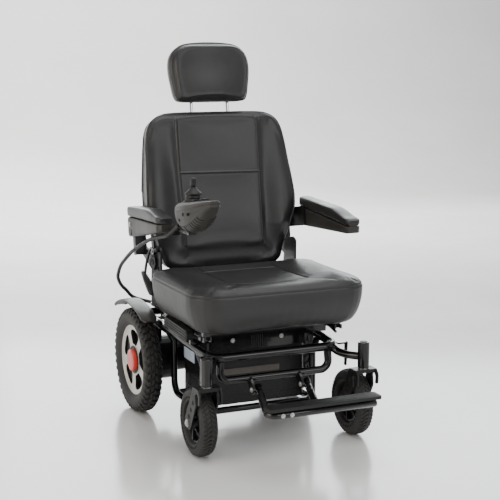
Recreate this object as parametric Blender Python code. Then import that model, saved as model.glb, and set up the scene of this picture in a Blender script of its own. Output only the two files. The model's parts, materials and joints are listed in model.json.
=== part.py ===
"""Power wheelchair with captain's seat, flip-up armrests and joystick controller.

Every size is in metres. All pieces hang under one datum empty at the drive axle, on the floor, so the
numbers below are measured from there: x across (the chair's right is -x), y back from the axle (the chair
faces -y) and z up from the floor. The datum itself stands AXLE_Y behind the middle of the chair.
"""

import math

import bmesh
import bpy
from mathutils import Matrix, Vector

GAP = 0.0004
AXLE_Y = 0.275

# Drive wheels: 12.5 x 2.25 inch tyres
TYRE_R = 0.159
TYRE_W = 0.057
RIM_R = 0.107
DRIVE_X = 0.2505
AXLE_R = 0.010
CAP_R = 0.0335

# Casters: 8 inch, trailing behind the swivel axis
CASTER_R = 0.095
CASTER_W = 0.050
CASTER_RIM_R = 0.057
CASTER_X = 0.236
SWIVEL_Y = -0.528
CASTER_Y = -0.466
BARREL_R = 0.0165
BARREL_Z = (0.211, 0.284)

# Frame tubes
LOOP_R = 0.0125
LOOP_FRONT = -0.450
LOOP_REAR = 0.075
LOOP_Z_FRONT = 0.260
LOOP_Z_REAR = 0.287
BUMPER_R = 0.011
BUMPER_Z = 0.195
BASE_R = 0.010
BASE_X = 0.172
BASE_Z = 0.0765

# Battery case
CASE_X = 0.150
CASE_Y = (-0.330, -0.127)
CASE_Z = (0.088, 0.272)
CASE_WALL = 0.003

# Seat
RAIL_X = 0.200
RAIL_Z = (0.306, 0.320)
PAN_Z = (0.334, 0.342)
SEAT_Y = (-0.520, -0.150)
SEAT_TOP = 0.464
SEAT_HALF = 0.250

# Backrest, in its own leaning frame: x across, v rearwards, w up
LEAN = math.radians(9.7)
BACK_Y = -0.114
BACK_Z = 0.455
BACK_THICK = 0.085
SHELL_V = (BACK_THICK + GAP, 0.115)
POST_X = 0.059
POST_V = 0.064
POST_R = 0.005
HEAD_W = (0.492, 0.672)
HEAD_V = (-0.012, 0.110)
RECLINE = (-0.080, 0.470)

# Armrests
ARM_PIVOT = (-0.090, 0.588)
ARM_REAR = -0.060
ARM_TIP_RIGHT = -0.350
ARM_TIP_LEFT = -0.384
RIGHT_ARM_RAISE = math.radians(7.5)

# Controller and joystick
STICK = (-0.248, -0.470, 0.682)
CONTROL_X = -0.248

# Footrest
FOOT_BOLT = (-0.474, 0.168)
FOOT_Y = -0.694
FOOT_TUBE_Z = 0.160
FOOT_TUBE_R = 0.0105
FOOT_X = (-0.140, 0.190)

RIGHT, LEFT = -1, 1
SIDE_NAME = {RIGHT: "right", LEFT: "left"}

COLOURS = {
    "frame_black": ((0.012, 0.012, 0.013), 0.22, 0.3),
    "leather": ((0.035, 0.034, 0.036), 0.45, 0.0),
    "moulded_plastic": ((0.045, 0.043, 0.040), 0.5, 0.0),
    "case_plastic": ((0.018, 0.018, 0.020), 0.4, 0.0),
    "rubber": ((0.020, 0.019, 0.018), 0.8, 0.0),
    "tyre": ((0.030, 0.027, 0.024), 0.85, 0.0),
    "rim_silver": ((0.80, 0.77, 0.70), 0.3, 0.9),
    "caster_rim": ((0.025, 0.025, 0.025), 0.4, 0.2),
    "red_cap": ((0.75, 0.03, 0.02), 0.35, 0.0),
    "chrome": ((0.75, 0.76, 0.78), 0.08, 1.0),
    "motor_black": ((0.020, 0.020, 0.022), 0.35, 0.5),
}


def material(name):
    """The Principled material of one finish, made once."""
    found = bpy.data.materials.get(name)
    if found:
        return found
    colour, roughness, metallic = COLOURS[name]
    made = bpy.data.materials.new(name)
    made.use_nodes = True
    shader = made.node_tree.nodes["Principled BSDF"]
    shader.inputs["Base Color"].default_value = (*colour, 1.0)
    shader.inputs["Roughness"].default_value = roughness
    shader.inputs["Metallic"].default_value = metallic
    return made


def place(name, bm, finish, origin=(0, 0, 0)):
    """Makes the mesh an object under the datum, with its own origin at the given point."""
    bmesh.ops.translate(bm, verts=bm.verts, vec=-Vector(origin))
    bmesh.ops.recalc_face_normals(bm, faces=bm.faces)
    mesh = bpy.data.meshes.new(name)
    bm.to_mesh(mesh)
    bm.free()
    mesh.shade_smooth()
    mesh.set_sharp_from_angle(angle=math.radians(35))
    mesh.materials.append(material(finish))
    made = bpy.data.objects.new(name, mesh)
    bpy.context.scene.collection.objects.link(made)
    made.parent = datum
    made.location = origin
    return made


def operand(target, bm, kind, label):
    """Adds a Boolean to the target with a hidden helper object made from bm, given in chair coordinates."""
    helper = place(f"{target.name}_{label}", bm, "frame_black", target.location)
    helper.hide_render = True
    helper.display_type = "WIRE"
    step = target.modifiers.new(label, "BOOLEAN")
    step.operation = kind
    step.solver = "EXACT"
    step.object = helper


def join(target, bm, label):
    operand(target, bm, "UNION", label)


def cut(target, bm, label):
    operand(target, bm, "DIFFERENCE", label)


# Outlines and paths


def fillet(points, radius, steps=4, closed=False):
    """A path with its corners rounded to the radius; radius may be one number or one for each point."""
    points = [Vector(p) for p in points]
    radii = radius if isinstance(radius, (list, tuple)) else [radius] * len(points)
    out = []
    count = len(points)
    for i, corner in enumerate(points):
        if not closed and i in (0, count - 1) or radii[i] <= 0:
            out.append(corner)
            continue
        to_last = (points[i - 1] - corner).normalized()
        to_next = (points[(i + 1) % count] - corner).normalized()
        angle = to_last.angle(to_next)
        if angle > math.pi - 0.01:
            out.append(corner)
            continue
        run = radii[i] / math.tan(angle / 2)
        centre = corner + (to_last + to_next).normalized() * radii[i] / math.sin(angle / 2)
        start = corner + to_last * run - centre
        end = corner + to_next * run - centre
        sweep_angle = start.angle(end)
        for k in range(steps + 1):
            t = k / steps
            a = math.sin((1 - t) * sweep_angle) / math.sin(sweep_angle)
            b = math.sin(t * sweep_angle) / math.sin(sweep_angle)
            out.append(centre + start * a + end * b)
    return out


def circle(radius, sides, centre=(0, 0), turn=0.0):
    return [
        (
            centre[0] + radius * math.cos(turn + 2 * math.pi * i / sides),
            centre[1] + radius * math.sin(turn + 2 * math.pi * i / sides),
        )
        for i in range(sides)
    ]


def smooth_route(points, steps):
    """Points along a Catmull-Rom curve through the given ones."""
    points = [Vector(p) for p in points]
    padded = [2 * points[0] - points[1], *points, 2 * points[-1] - points[-2]]
    out = []
    for a, b, c, d in zip(padded, padded[1:], padded[2:], padded[3:]):
        for k in range(steps):
            t = k / steps
            out.append(
                0.5
                * (
                    2 * b
                    + (c - a) * t
                    + (2 * a - 5 * b + 4 * c - d) * t * t
                    + (3 * b - a - 3 * c + d) * t**3
                )
            )
    out.append(points[-1])
    return out


# Solids


def solid_from_rings(rings, closed=False):
    """Skins rings of equal point counts; the ends are capped unless the rings close on themselves."""
    bm = bmesh.new()
    loops = [[bm.verts.new(p) for p in ring] for ring in rings]
    pairs = list(zip(loops, loops[1:]))
    if closed:
        pairs.append((loops[-1], loops[0]))
    for low, high in pairs:
        count = len(low)
        for i in range(count):
            j = (i + 1) % count
            bm.faces.new((low[i], low[j], high[j], high[i]))
    if not closed:
        bm.faces.new(loops[0])
        bm.faces.new(loops[-1])
    return bm


def tube(path, radius, sides=10, closed=False):
    """A round bar along a path, its rings carried along without twist."""
    path = [Vector(p) for p in path]
    count = len(path)
    rings = []
    side = None
    for i, point in enumerate(path):
        before = path[i - 1] if closed or i else point
        after = path[(i + 1) % count] if closed or i < count - 1 else point
        along = (after - before).normalized()
        if side is None:
            upright = abs(along.z) >= 0.9
            side = along.orthogonal() if upright else Vector((0, 0, 1)) - along * along.z
        side = (side - along * side.dot(along)).normalized()
        other = along.cross(side)
        rings.append(
            [
                point
                + side * radius * math.cos(2 * math.pi * (k + 0.5) / sides)
                + other * radius * math.sin(2 * math.pi * (k + 0.5) / sides)
                for k in range(sides)
            ]
        )
    return solid_from_rings(rings, closed)


def prism(outline, plane, low, high):
    """Extrudes an outline drawn in plane yz, xz or xy between two heights of the third axis."""
    to_point = {
        "yz": lambda p, h: (h, p[0], p[1]),
        "xz": lambda p, h: (p[0], h, p[1]),
        "xy": lambda p, h: (p[0], p[1], h),
    }[plane]
    return solid_from_rings([[to_point(p, h) for p in outline] for h in (low, high)])


def box(x, y, z):
    return prism([(x[0], y[0]), (x[1], y[0]), (x[1], y[1]), (x[0], y[1])], "xy", z[0], z[1])


def rod(axis, low, high, radius, centre, sides=16):
    """A cylinder along x, y or z; centre gives the other two coordinates in order."""
    plane = {"x": "yz", "y": "xz", "z": "xy"}[axis]
    return prism(circle(radius, sides, centre, math.pi / sides), plane, low, high)


def turned(profile, centre, axis, segments):
    """A closed profile of (along, radius) points turned about an axis through the centre."""
    rings = []
    for i in range(segments):
        a = 2 * math.pi * (i + 0.5) / segments
        ring = []
        for along, radius in profile:
            u, v = radius * math.cos(a), radius * math.sin(a)
            offset = Vector((along, u, v)) if axis == "x" else Vector((u, v, along))
            ring.append(Vector(centre) + offset)
        rings.append(ring)
    return solid_from_rings(rings, closed=True)


def rounded_section(x_low, x_high, z_low, z_high, y, radius, steps=2):
    """A rounded rectangle in the xz plane at one y."""
    corners = [(x_low, y, z_low), (x_high, y, z_low), (x_high, y, z_high), (x_low, y, z_high)]
    return fillet(corners, radius, steps, closed=True)


def lean(bm):
    """Moves a solid from the backrest's leaning frame into the chair's."""
    shift = Matrix.Translation((0, BACK_Y, BACK_Z)) @ Matrix.Rotation(-LEAN, 4, "X")
    bmesh.ops.transform(bm, matrix=shift, verts=bm.verts)
    return bm


def tip_up(bm, pivot, angle):
    """Turns a solid about the x axis through a (y, z) pivot, its front going up."""
    centre = Vector((0, *pivot))
    spin = Matrix.Translation(centre) @ Matrix.Rotation(-angle, 4, "X") @ Matrix.Translation(-centre)
    bmesh.ops.transform(bm, matrix=spin, verts=bm.verts)
    return bm


# Chassis


def loop_z(y):
    """Height of the upper loop's centre line at y."""
    rise = (LOOP_Z_REAR - LOOP_Z_FRONT) * (y - LOOP_FRONT) / (LOOP_REAR - LOOP_FRONT)
    return LOOP_Z_FRONT + rise


def make_upper_loop():
    corners = [(-0.190, LOOP_FRONT), (0.190, LOOP_FRONT), (0.204, -0.100), (0.203, LOOP_REAR)]
    corners += [(-0.203, LOOP_REAR), (-0.204, -0.100)]
    path = fillet([(x, y, loop_z(y)) for x, y in corners], [0.04, 0.04, 0, 0.04, 0.04, 0], 5, closed=True)
    place("upper_frame_loop", tube(path, LOOP_R, 10, closed=True), "frame_black")


def make_bumper():
    """The lower front tube, turned up at both ends, with two ears that carry the footrest."""
    end = (0.164, -0.4475, loop_z(-0.4475) - LOOP_R - 0.0030)
    corner = (0.168, LOOP_FRONT, BUMPER_Z)
    path = [(-end[0], *end[1:]), (-corner[0], *corner[1:]), corner, end]
    bumper = place("front_bumper_tube", tube(fillet(path, 0.026, 5), BUMPER_R, 10), "frame_black")
    bolt_y, bolt_z = FOOT_BOLT
    along = Vector((bolt_y - LOOP_FRONT, bolt_z - BUMPER_Z)).normalized()
    across = Vector((-along.y, along.x)) * 0.013
    reach = along * 0.013
    start, stop = Vector((LOOP_FRONT, BUMPER_Z)), Vector((bolt_y, bolt_z))
    outline = fillet(
        [start - across, stop - across + reach, stop + across + reach, start + across], 0.009, 2, closed=True
    )
    for x, label in ((-0.0791, "ear_a"), (0.0699, "ear_b")):
        join(bumper, prism(outline, "yz", x - 0.003, x + 0.003), label)
    cut(bumper, rod("x", -0.2, 0.2, 0.0046, FOOT_BOLT, 12), "bolt_holes")


def make_base_frame():
    """Two upright rectangular side tubes tied by a cross tube at the front and one at the rear."""
    front, rear = -0.338, -0.105

    def side_path(side):
        x = side * BASE_X
        top_front = (side * 0.187, front, loop_z(front) - LOOP_R - 0.002)
        top_rear = (side * 0.193, rear, loop_z(rear) - LOOP_R - 0.006)
        path = [top_front, (x, front, 0.215), (x, front, BASE_Z)]
        path += [(x, rear, BASE_Z), (x, rear, 0.235), top_rear]
        return fillet(path, [0, 0.02, 0.02, 0.04, 0.02, 0], 4)

    frame = place("base_frame", tube(side_path(RIGHT), BASE_R, 8), "frame_black")
    for y, label in ((front - 0.003, "front_tie"), (rear - 0.012, "rear_tie")):
        join(frame, tube([(-BASE_X, y, BASE_Z), (BASE_X, y, BASE_Z)], 0.0095, 8), label)
    join(frame, tube(side_path(LEFT), BASE_R, 8), "left_side")


def rounded_rect(x, y, radius, steps=3):
    return fillet([(-x, y[0]), (x, y[0]), (x, y[1]), (-x, y[1])], radius, steps, closed=True)


def make_batteries():
    case = place("battery_case", prism(rounded_rect(CASE_X, CASE_Y, 0.012), "xy", *CASE_Z), "case_plastic")
    inner = (CASE_Y[0] + CASE_WALL, CASE_Y[1] - CASE_WALL)
    outline = rounded_rect(CASE_X - CASE_WALL, inner, 0.009)
    hollow = prism(outline, "xy", CASE_Z[0] + CASE_WALL, CASE_Z[1] + 0.01)
    cut(case, hollow, "hollow")
    lid_y = (CASE_Y[0] - 0.0025, CASE_Y[1] + 0.0025)
    lid_outline = rounded_rect(CASE_X + 0.0025, lid_y, 0.013)
    place("battery_case_lid", prism(lid_outline, "xy", CASE_Z[1] + GAP, 0.284), "case_plastic")
    pack_y = (inner[0] + 0.006, inner[1] - 0.006)
    pack_z = (CASE_Z[0] + CASE_WALL + GAP, CASE_Z[1] - 0.008)
    pack = prism(rounded_rect(CASE_X - 0.010, pack_y, 0.004, 1), "xy", *pack_z)
    battery = place("battery_pack", pack, "case_plastic")
    cut(battery, box((-0.002, 0.002), (-0.5, 0), (pack_z[1] - 0.03, 0.4)), "split")


def make_control_module():
    """Finned motor controller on a flange between the loop's sides."""
    module = place("control_module", box((-0.208, 0.208), (0.034, 0.060), (0.2675, 0.2720)), "motor_black")
    join(module, box((-0.100, 0.100), (-0.060, 0.061), (0.218, 0.270)), "body")
    for i in range(5):
        x = -0.08 + 0.04 * i
        cut(module, box((x - 0.006, x + 0.006), (-0.1, 0.1), (0.21, 0.226)), f"fin_gap_{i}")


def make_drive(side):
    """Gearmotor with its mounting lug and wheel axle, tyre, rim and hub cap of one side."""
    name = SIDE_NAME[side]
    centre = (0, TYRE_R)
    x = [side * v for v in (0.062, 0.150, 0.184, 0.2195)]
    motor = place(f"drive_motor_{name}", rod("x", x[0], x[2], 0.045, centre, 20), "motor_black")
    join(motor, rod("x", x[1], x[3], 0.066, centre, 24), "gearbox")
    lug_top = loop_z(-0.03) - LOOP_R - 0.001
    join(motor, box(sorted((x[2], side * 0.214)), (-0.03, 0.03), (0.20, lug_top)), "lug")
    join(motor, rod("x", side * 0.2, side * 0.2612, AXLE_R, centre, 16), "axle")
    wheel = (side * DRIVE_X, 0, TYRE_R)
    half = TYRE_W / 2
    tread = [(-half * 0.60, RIM_R + 0.0006), (-half * 0.93, 0.122), (-half, 0.138), (-half * 0.86, 0.151)]
    tread += [(-half * 0.5, 0.1575), (0, TYRE_R)]
    profile = tread + [(-a, r) for a, r in tread[-2::-1]]
    place(f"drive_tyre_{name}", turned(profile, wheel, "x", 32), "tyre", wheel)
    rim_profile = [(-0.022, 0.0105), (-0.022, 0.030), (0.000, 0.042), (0.003, 0.099), (-0.0165, 0.100)]
    rim_profile += [(-0.0165, RIM_R), (0.0165, RIM_R), (0.0165, 0.100), (0.0115, 0.097), (0.011, 0.045)]
    rim_profile += [(0.011, 0.0105)]
    rim_solid = turned([(side * a, r) for a, r in rim_profile], wheel, "x", 32)
    rim = place(f"drive_rim_{name}", rim_solid, "rim_silver", wheel)
    for i in range(5):
        middle = 2 * math.pi * i / 5 + math.radians(95)
        outer = [(0.092, middle + math.radians(s)) for s in (-21, -7, 7, 21)]
        inner = [(0.053, middle + math.radians(s)) for s in (17, -17)]
        corners = [(r * math.cos(a), TYRE_R + r * math.sin(a)) for r, a in outer + inner]
        window = fillet(corners, [0.009, 0, 0, 0.009, 0.010, 0.010], 3, closed=True)
        cut(rim, prism(window, "yz", side * 0.20, side * 0.30), f"window_{i}")
    dome = [(0, CAP_R), (0.008, CAP_R), (0.0125, CAP_R - 0.004), (0.0145, CAP_R * 0.55)]
    turns = [2 * math.pi * k / 24 for k in range(24)]
    rings = [
        [(side * (0.2619 + a), r * math.cos(t), TYRE_R + r * math.sin(t)) for t in turns]
        for a, r in dome
    ]
    place(f"hub_cap_{name}", solid_from_rings(rings), "red_cap", wheel)


def make_fender(side):
    """A thin curved strip over the tyre, with a tab to the frame loop."""
    line = [(-0.124, 0.3020), (-0.070, 0.3230), (0.000, 0.3345)]
    line += [(0.060, 0.3350), (0.115, 0.3210), (0.164, 0.2980)]
    line = [Vector((0, *p)) for p in line]
    curve = smooth_route(line, 3)
    half = 0.0014
    upper, lower = [], []
    for i, point in enumerate(curve):
        along = (curve[min(i + 1, len(curve) - 1)] - curve[max(i - 1, 0)]).normalized()
        normal = Vector((0, -along.z, along.y)) * half
        upper.append(((point + normal).y, (point + normal).z))
        lower.append(((point - normal).y, (point - normal).z))
    strip = prism(upper + lower[::-1], "yz", side * 0.2255, side * 0.2760)
    fender = place(f"fender_{SIDE_NAME[side]}", strip, "moulded_plastic")
    join(fender, box(sorted((side * 0.2265, side * 0.2295)), (-0.098, -0.078), (0.2920, 0.3190)), "tab_rise")
    join(fender, box(sorted((side * 0.2040, side * 0.2290)), (-0.098, -0.078), (0.2920, 0.2960)), "tab")


def make_caster_arm(side):
    """A bent tube from the loop's front corner to the swivel barrel."""
    path = [(0.1910, -0.4545, 0.2450), (0.2000, -0.4780, 0.2415)]
    path += [(0.2200, -0.5060, 0.2410), (0.236, -0.524, 0.241)]
    path = [(side * x, y, z) for x, y, z in path]
    arm = place(f"caster_arm_{SIDE_NAME[side]}", tube(smooth_route(path, 3), 0.0115, 10), "frame_black")
    centre = (side * CASTER_X, SWIVEL_Y)
    join(arm, rod("z", *BARREL_Z, BARREL_R, centre, 20), "barrel")
    cut(arm, rod("z", BARREL_Z[0] - 0.01, 0.276, 0.0108, centre, 16), "bore")


def make_caster(side):
    """Fork with stem and axle, tyre and rim of one caster."""
    name = SIDE_NAME[side]
    x = side * CASTER_X
    pivot = (x, SWIVEL_Y, BARREL_Z[0])
    leg = [(-0.508, 0.208), (-0.547, 0.208), (-0.555, 0.185), (-0.540, 0.158)]
    leg += [(-0.489, 0.082), (-0.456, 0.079), (-0.447, 0.104), (-0.486, 0.165)]
    outline = fillet(leg, [0.004, 0.008, 0.02, 0.03, 0.012, 0.012, 0.012, 0.03], 2, closed=True)
    fork = place(f"caster_fork_{name}", prism(outline, "yz", x - 0.0335, x - 0.0285), "frame_black", pivot)
    join(fork, prism(outline, "yz", x + 0.0285, x + 0.0335), "leg")
    join(fork, box((x - 0.031, x + 0.031), (-0.546, -0.509), (0.198, 0.2078)), "crown")
    join(fork, rod("z", 0.20, 0.272, 0.010, (x, SWIVEL_Y), 16), "stem")
    join(fork, rod("x", x - 0.038, x + 0.038, 0.006, (CASTER_Y, CASTER_R), 12), "axle")
    for i, (y, z) in enumerate(((-0.513, 0.167), (-0.497, 0.144), (-0.481, 0.121))):
        cut(fork, rod("x", x - 0.05, x + 0.05, 0.0058, (y, z), 10), f"hole_{i}")
    hub = (x, CASTER_Y, CASTER_R)
    half = CASTER_W / 2
    tread = [(-half * 0.55, CASTER_RIM_R + 0.0006), (-half * 0.95, 0.068), (-half, 0.078)]
    tread += [(-half * 0.80, 0.089), (-half * 0.4, 0.0938), (0, CASTER_R)]
    place(
        f"caster_tyre_{name}", turned(tread + [(-a, r) for a, r in tread[-2::-1]], hub, "x", 24), "tyre", hub
    )
    rim = [(-0.0275, 0.0066), (-0.0275, 0.017), (-0.006, 0.022), (-0.004, 0.050), (-0.014, 0.052)]
    rim += [(-0.014, CASTER_RIM_R)]
    rim += [(-a, r) for a, r in rim[::-1]]
    place(f"caster_rim_{name}", turned(rim, hub, "x", 24), "caster_rim", hub)


def make_crossbars():
    top = RAIL_Z[0] - GAP
    front_y = -0.340
    rest = loop_z(front_y) + LOOP_R + 0.0008
    outline = [(-0.212, rest), (-0.142, rest), (-0.142, 0.250), (0.142, 0.250), (0.142, rest), (0.212, rest)]
    outline += [(0.212, top), (-0.212, top)]
    place("seat_crossbar_front", prism(outline, "xz", front_y - 0.006, front_y + 0.006), "frame_black")
    rear_rest = loop_z(-0.130) + LOOP_R + 0.0008
    place("seat_crossbar_rear", box((-0.212, 0.212), (-0.150, -0.130), (rear_rest, top)), "frame_black")
    for side in (RIGHT, LEFT):
        x = side * RAIL_X
        section = fillet(
            [(x - 0.015, RAIL_Z[0]), (x + 0.015, RAIL_Z[0]), (x + 0.015, RAIL_Z[1]), (x - 0.015, RAIL_Z[1])],
            0.003, 1, closed=True,
        )
        place(f"slide_rail_{SIDE_NAME[side]}", prism(section, "xz", -0.430, -0.120), "frame_black")


# Seat


def seat_section(half, front, rear, z, radius):
    corners = [(-half, front, z), (half, front, z), (half, rear, z), (-half, rear, z)]
    return fillet(corners, [radius, radius, 0.03, 0.03], 4, closed=True)


def make_seat():
    pan = place("seat_pan", box((-0.215, 0.215), (-0.495, -0.150), PAN_Z), "frame_black")
    join(pan, box((-0.2225, 0.2225), (-0.160, -0.040), PAN_Z), "tail")
    for side, label in ((RIGHT, "right"), (LEFT, "left")):
        x = sorted((side * 0.186, side * 0.214))
        join(pan, box(x, (-0.440, -0.155), (RAIL_Z[1] + GAP, PAN_Z[0] + 0.002)), f"slider_{label}")
    levels = [(0.215, 0.030, 0.3426), (0.233, 0.012, 0.355), (0.243, 0.004, 0.385), (SEAT_HALF, 0.0, 0.425)]
    levels += [(0.247, 0.002, 0.446), (0.230, 0.018, SEAT_TOP)]
    rings = [
        seat_section(half, SEAT_Y[0] + inset, SEAT_Y[1] - inset * 0.4, z, 0.075) for half, inset, z in levels
    ]
    place("seat_cushion", solid_from_rings(rings), "leather")
    pivot = (0.168, -0.405, 0.3268)
    lever = [(0.168, -0.405, 0.3268), (0.168, -0.440, 0.3230), (0.168, -0.490, 0.3110)]
    place("slide_lever", tube(fillet(lever, 0.02, 2), 0.0042, 8), "frame_black", pivot)


def make_recliner(side):
    """Lower plate on the seat pan, with the pin that the backrest's bracket turns on."""
    y, z = RECLINE
    foot = PAN_Z[1] + GAP
    outline = [(-0.146, foot), (-0.046, foot), (-0.046, 0.400), (-0.055, 0.500), (-0.084, 0.512)]
    outline += [(-0.108, 0.524), (-0.130, 0.516), (-0.128, 0.420)]
    outline = fillet(outline, [0.002, 0.002, 0.02, 0.015, 0.02, 0.01, 0.01, 0.04], 2, closed=True)
    inner, outer = side * 0.2145, side * 0.2205
    plate = place(f"recliner_plate_{SIDE_NAME[side]}", prism(outline, "yz", inner, outer), "frame_black")
    join(plate, rod("x", side * 0.217, side * 0.2295, 0.0080, (y, z), 12), "pin")
    if side == RIGHT:
        join(plate, rod("x", -0.217, -0.2400, 0.0040, (-0.112, 0.508), 10), "lever_pin")
        for i, (hole_y, hole_z) in enumerate(((-0.092, 0.395), (-0.085, 0.430), (-0.115, 0.455))):
            cut(plate, rod("x", -0.25, -0.20, 0.007, (hole_y, hole_z), 10), f"hole_{i}")


def make_recline_lever():
    """Bent rod from the recliner's cross pin down to a flat grip."""
    pivot = (-0.230, -0.112, 0.508)
    x = -0.2345
    path = [(x, -0.112, 0.508), (x, -0.085, 0.512), (x, -0.050, 0.470), (x, -0.030, 0.420)]
    lever = place("recline_lever", tube(smooth_route(path, 3), 0.0040, 8), "frame_black", pivot)
    join(lever, rod("x", -0.2300, -0.2390, 0.0100, (-0.112, 0.508), 14), "hub")
    cut(lever, rod("x", -0.2200, -0.2500, 0.0044, (-0.112, 0.508), 10), "hub_bore")
    start, stop = Vector((-0.022, 0.428)), Vector((-0.112, 0.386))
    along = (stop - start).normalized()
    across = Vector((-along.y, along.x))
    corners = [start + across * 0.008, stop + across * 0.011, stop - across * 0.011, start - across * 0.008]
    outline = fillet(corners, [0.006, 0.009, 0.009, 0.006], 2, closed=True)
    join(lever, prism(outline, "yz", x - 0.008, x + 0.004), "grip")


# Backrest


def back_outline(v, inset):
    """One ring of the back's shield-shaped outline, drawn inwards by the inset."""
    side = [(0.150, 0.0), (0.192, 0.024), (0.2075, 0.068), (0.228, 0.114)]
    side += [(0.2350, 0.165), (0.234, 0.225), (0.226, 0.305), (0.2155, 0.390)]
    half = [(x - inset, w + (inset if w < 0.03 else 0)) for x, w in side]
    half += [(0.194 - inset, 0.434 - inset * 0.7), (0.150 - inset, 0.4545 - inset), (0.05, 0.4585 - inset)]
    ring = half + [(-x, w) for x, w in half[::-1]]
    return [(x, v, w) for x, w in ring]


def make_back():
    rings = [
        back_outline(0.0, 0.022),
        back_outline(0.010, 0.004),
        back_outline(0.030, 0.0),
        back_outline(0.070, 0.002),
        back_outline(BACK_THICK, 0.012),
    ]
    cushion = place("back_cushion", lean(solid_from_rings(rings)), "leather")
    for side in (RIGHT, LEFT):
        bore = rod("z", 0.30, 0.50, POST_R + 0.0005, (side * POST_X, POST_V), 10)
        cut(cushion, lean(bore), f"post_bore_{SIDE_NAME[side]}")
    shell_half = [(0.150, 0.010), (0.2000, 0.030), (0.2050, 0.200), (0.222, 0.235)]
    shell_half += [(0.210, 0.360), (0.180, 0.430), (0.140, 0.450)]

    def shell_ring(v, inset):
        half = [(x - inset, w + (inset if w < 0.1 else -inset if w > 0.4 else 0)) for x, w in shell_half]
        return [(x, v, w) for x, w in half + [(-x, w) for x, w in half[::-1]]]

    rings = [shell_ring(SHELL_V[0], 0.0), shell_ring(0.107, 0.0), shell_ring(SHELL_V[1], 0.010)]
    place("back_shell", lean(solid_from_rings(rings)), "moulded_plastic")


def make_back_bracket(side):
    """Recliner arm, upright and armrest lug of one side in one weldment."""
    y, z = RECLINE
    foot = [(y - 0.026, z), (y - 0.006, z - 0.026), (y + 0.020, z - 0.018), (0.020, 0.484), (0.026, 0.520)]
    foot += [(-0.040, 0.500), (y - 0.008, z + 0.026)]
    outline = fillet(foot, [0.014, 0.014, 0.01, 0.006, 0.006, 0.02, 0.014], 2, closed=True)
    x_low, x_high = side * 0.2210, side * 0.2275
    bracket = place(
        f"back_bracket_{SIDE_NAME[side]}", prism(outline, "yz", x_low, x_high), "frame_black", (0, y, z)
    )
    upright = box(sorted((side * 0.2215, side * 0.2565)), (0.090, 0.112), (0.045, 0.190))
    join(bracket, lean(upright), "upright")
    lug = box(sorted((side * 0.2500, side * 0.2565)), (-0.024, 0.105), (0.100, 0.160))
    join(bracket, lean(lug), "lug")
    join(bracket, rod("x", side * 0.252, side * 0.284, 0.0080, ARM_PIVOT, 16), "arm_pin")
    cut(bracket, rod("x", side * 0.215, side * 0.235, 0.0086, (y, z), 12), "recline_bore")


def make_headrest():
    def ring(v, inset):
        low, high = HEAD_W[0] + inset * 0.8, HEAD_W[1] - inset
        half = [(0.085 - inset, low), (0.112 - inset, low + 0.018), (0.122 - inset, low + 0.052)]
        half += [(0.128 - inset, low + 0.095), (0.118 - inset, high - 0.045), (0.092 - inset, high - 0.015)]
        half += [(0.050 - inset * 0.5, high - 0.001)]
        return [(x, v, w) for x, w in half + [(-x, w) for x, w in half[::-1]]]

    front, rear = HEAD_V
    rings = [ring(front, 0.030), ring(front + 0.012, 0.010), ring(front + 0.040, 0.0), ring(0.070, 0.001)]
    rings += [ring(rear - 0.010, 0.014), ring(rear, 0.030)]
    cushion = place("headrest_cushion", lean(solid_from_rings(rings)), "leather")
    for side in (RIGHT, LEFT):
        name = SIDE_NAME[side]
        bore = rod("z", 0.45, 0.5455, POST_R + 0.0005, (side * POST_X, POST_V), 10)
        cut(cushion, lean(bore), f"post_bore_{name}")
        post = rod("z", 0.330, 0.540, POST_R, (side * POST_X, POST_V), 12)
        place(f"headrest_post_{name}", lean(post), "chrome")


# Armrests


def arm_station(t):
    """Inner and outer half widths and bottom, parting and top heights, t of the way along an armrest."""
    inner = 0.2585 - 0.0015 * t
    outer = 0.2990 + 0.0050 * min(1.0, max(0.0, (t - 0.25) / 0.45))
    bottom = 0.551 + 0.015 * t
    parting = 0.6120 - 0.024 * t
    drop = min(1.0, max(0.0, (t - 0.62) / 0.38))
    top = 0.6400 - 0.016 * t - 0.017 * (3 * drop**2 - 2 * drop**3)
    return inner, outer, bottom, parting, top


def make_armrest(side):
    name = SIDE_NAME[side]
    angle = RIGHT_ARM_RAISE if side == RIGHT else 0.0
    pivot = (side * 0.27, *ARM_PIVOT)
    end = ARM_TIP_RIGHT if side == RIGHT else ARM_TIP_LEFT
    stations = [(0.0, 0.003), (0.02, 0.0), (0.28, 0.0), (0.50, 0.0), (0.62, 0.0), (0.72, 0.0)]
    stations += [(0.88, 0.0), (0.97, 0.003), (1.0, 0.010)]
    base_rings, pad_rings = [], []
    for t, inset in stations:
        y = ARM_REAR + (end - ARM_REAR) * t
        inner, outer, bottom, parting, top = arm_station(t)
        x = sorted((side * (inner + inset * 0.5), side * (outer - inset)))
        base_rings.append(rounded_section(*x, bottom + inset * 0.3, parting - GAP, y, 0.0035, 1))
        pad_rings.append(rounded_section(*x, parting, top - inset * 0.4, y, 0.0060, 2))
    base = place(
        f"arm_base_{name}", tip_up(solid_from_rings(base_rings), ARM_PIVOT, angle), "moulded_plastic", pivot
    )
    cut(base, rod("x", side * 0.24, side * 0.2852, 0.0085, ARM_PIVOT, 16), "pivot_bore")
    place(f"arm_pad_{name}", tip_up(solid_from_rings(pad_rings), ARM_PIVOT, angle), "leather", pivot)


# Controller


def control_ring(y, low, high, half):
    radius = min(0.012, (high - low) * 0.35, half * 0.45)
    return rounded_section(CONTROL_X - half, CONTROL_X + half, low, high, y, radius, 3)


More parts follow.
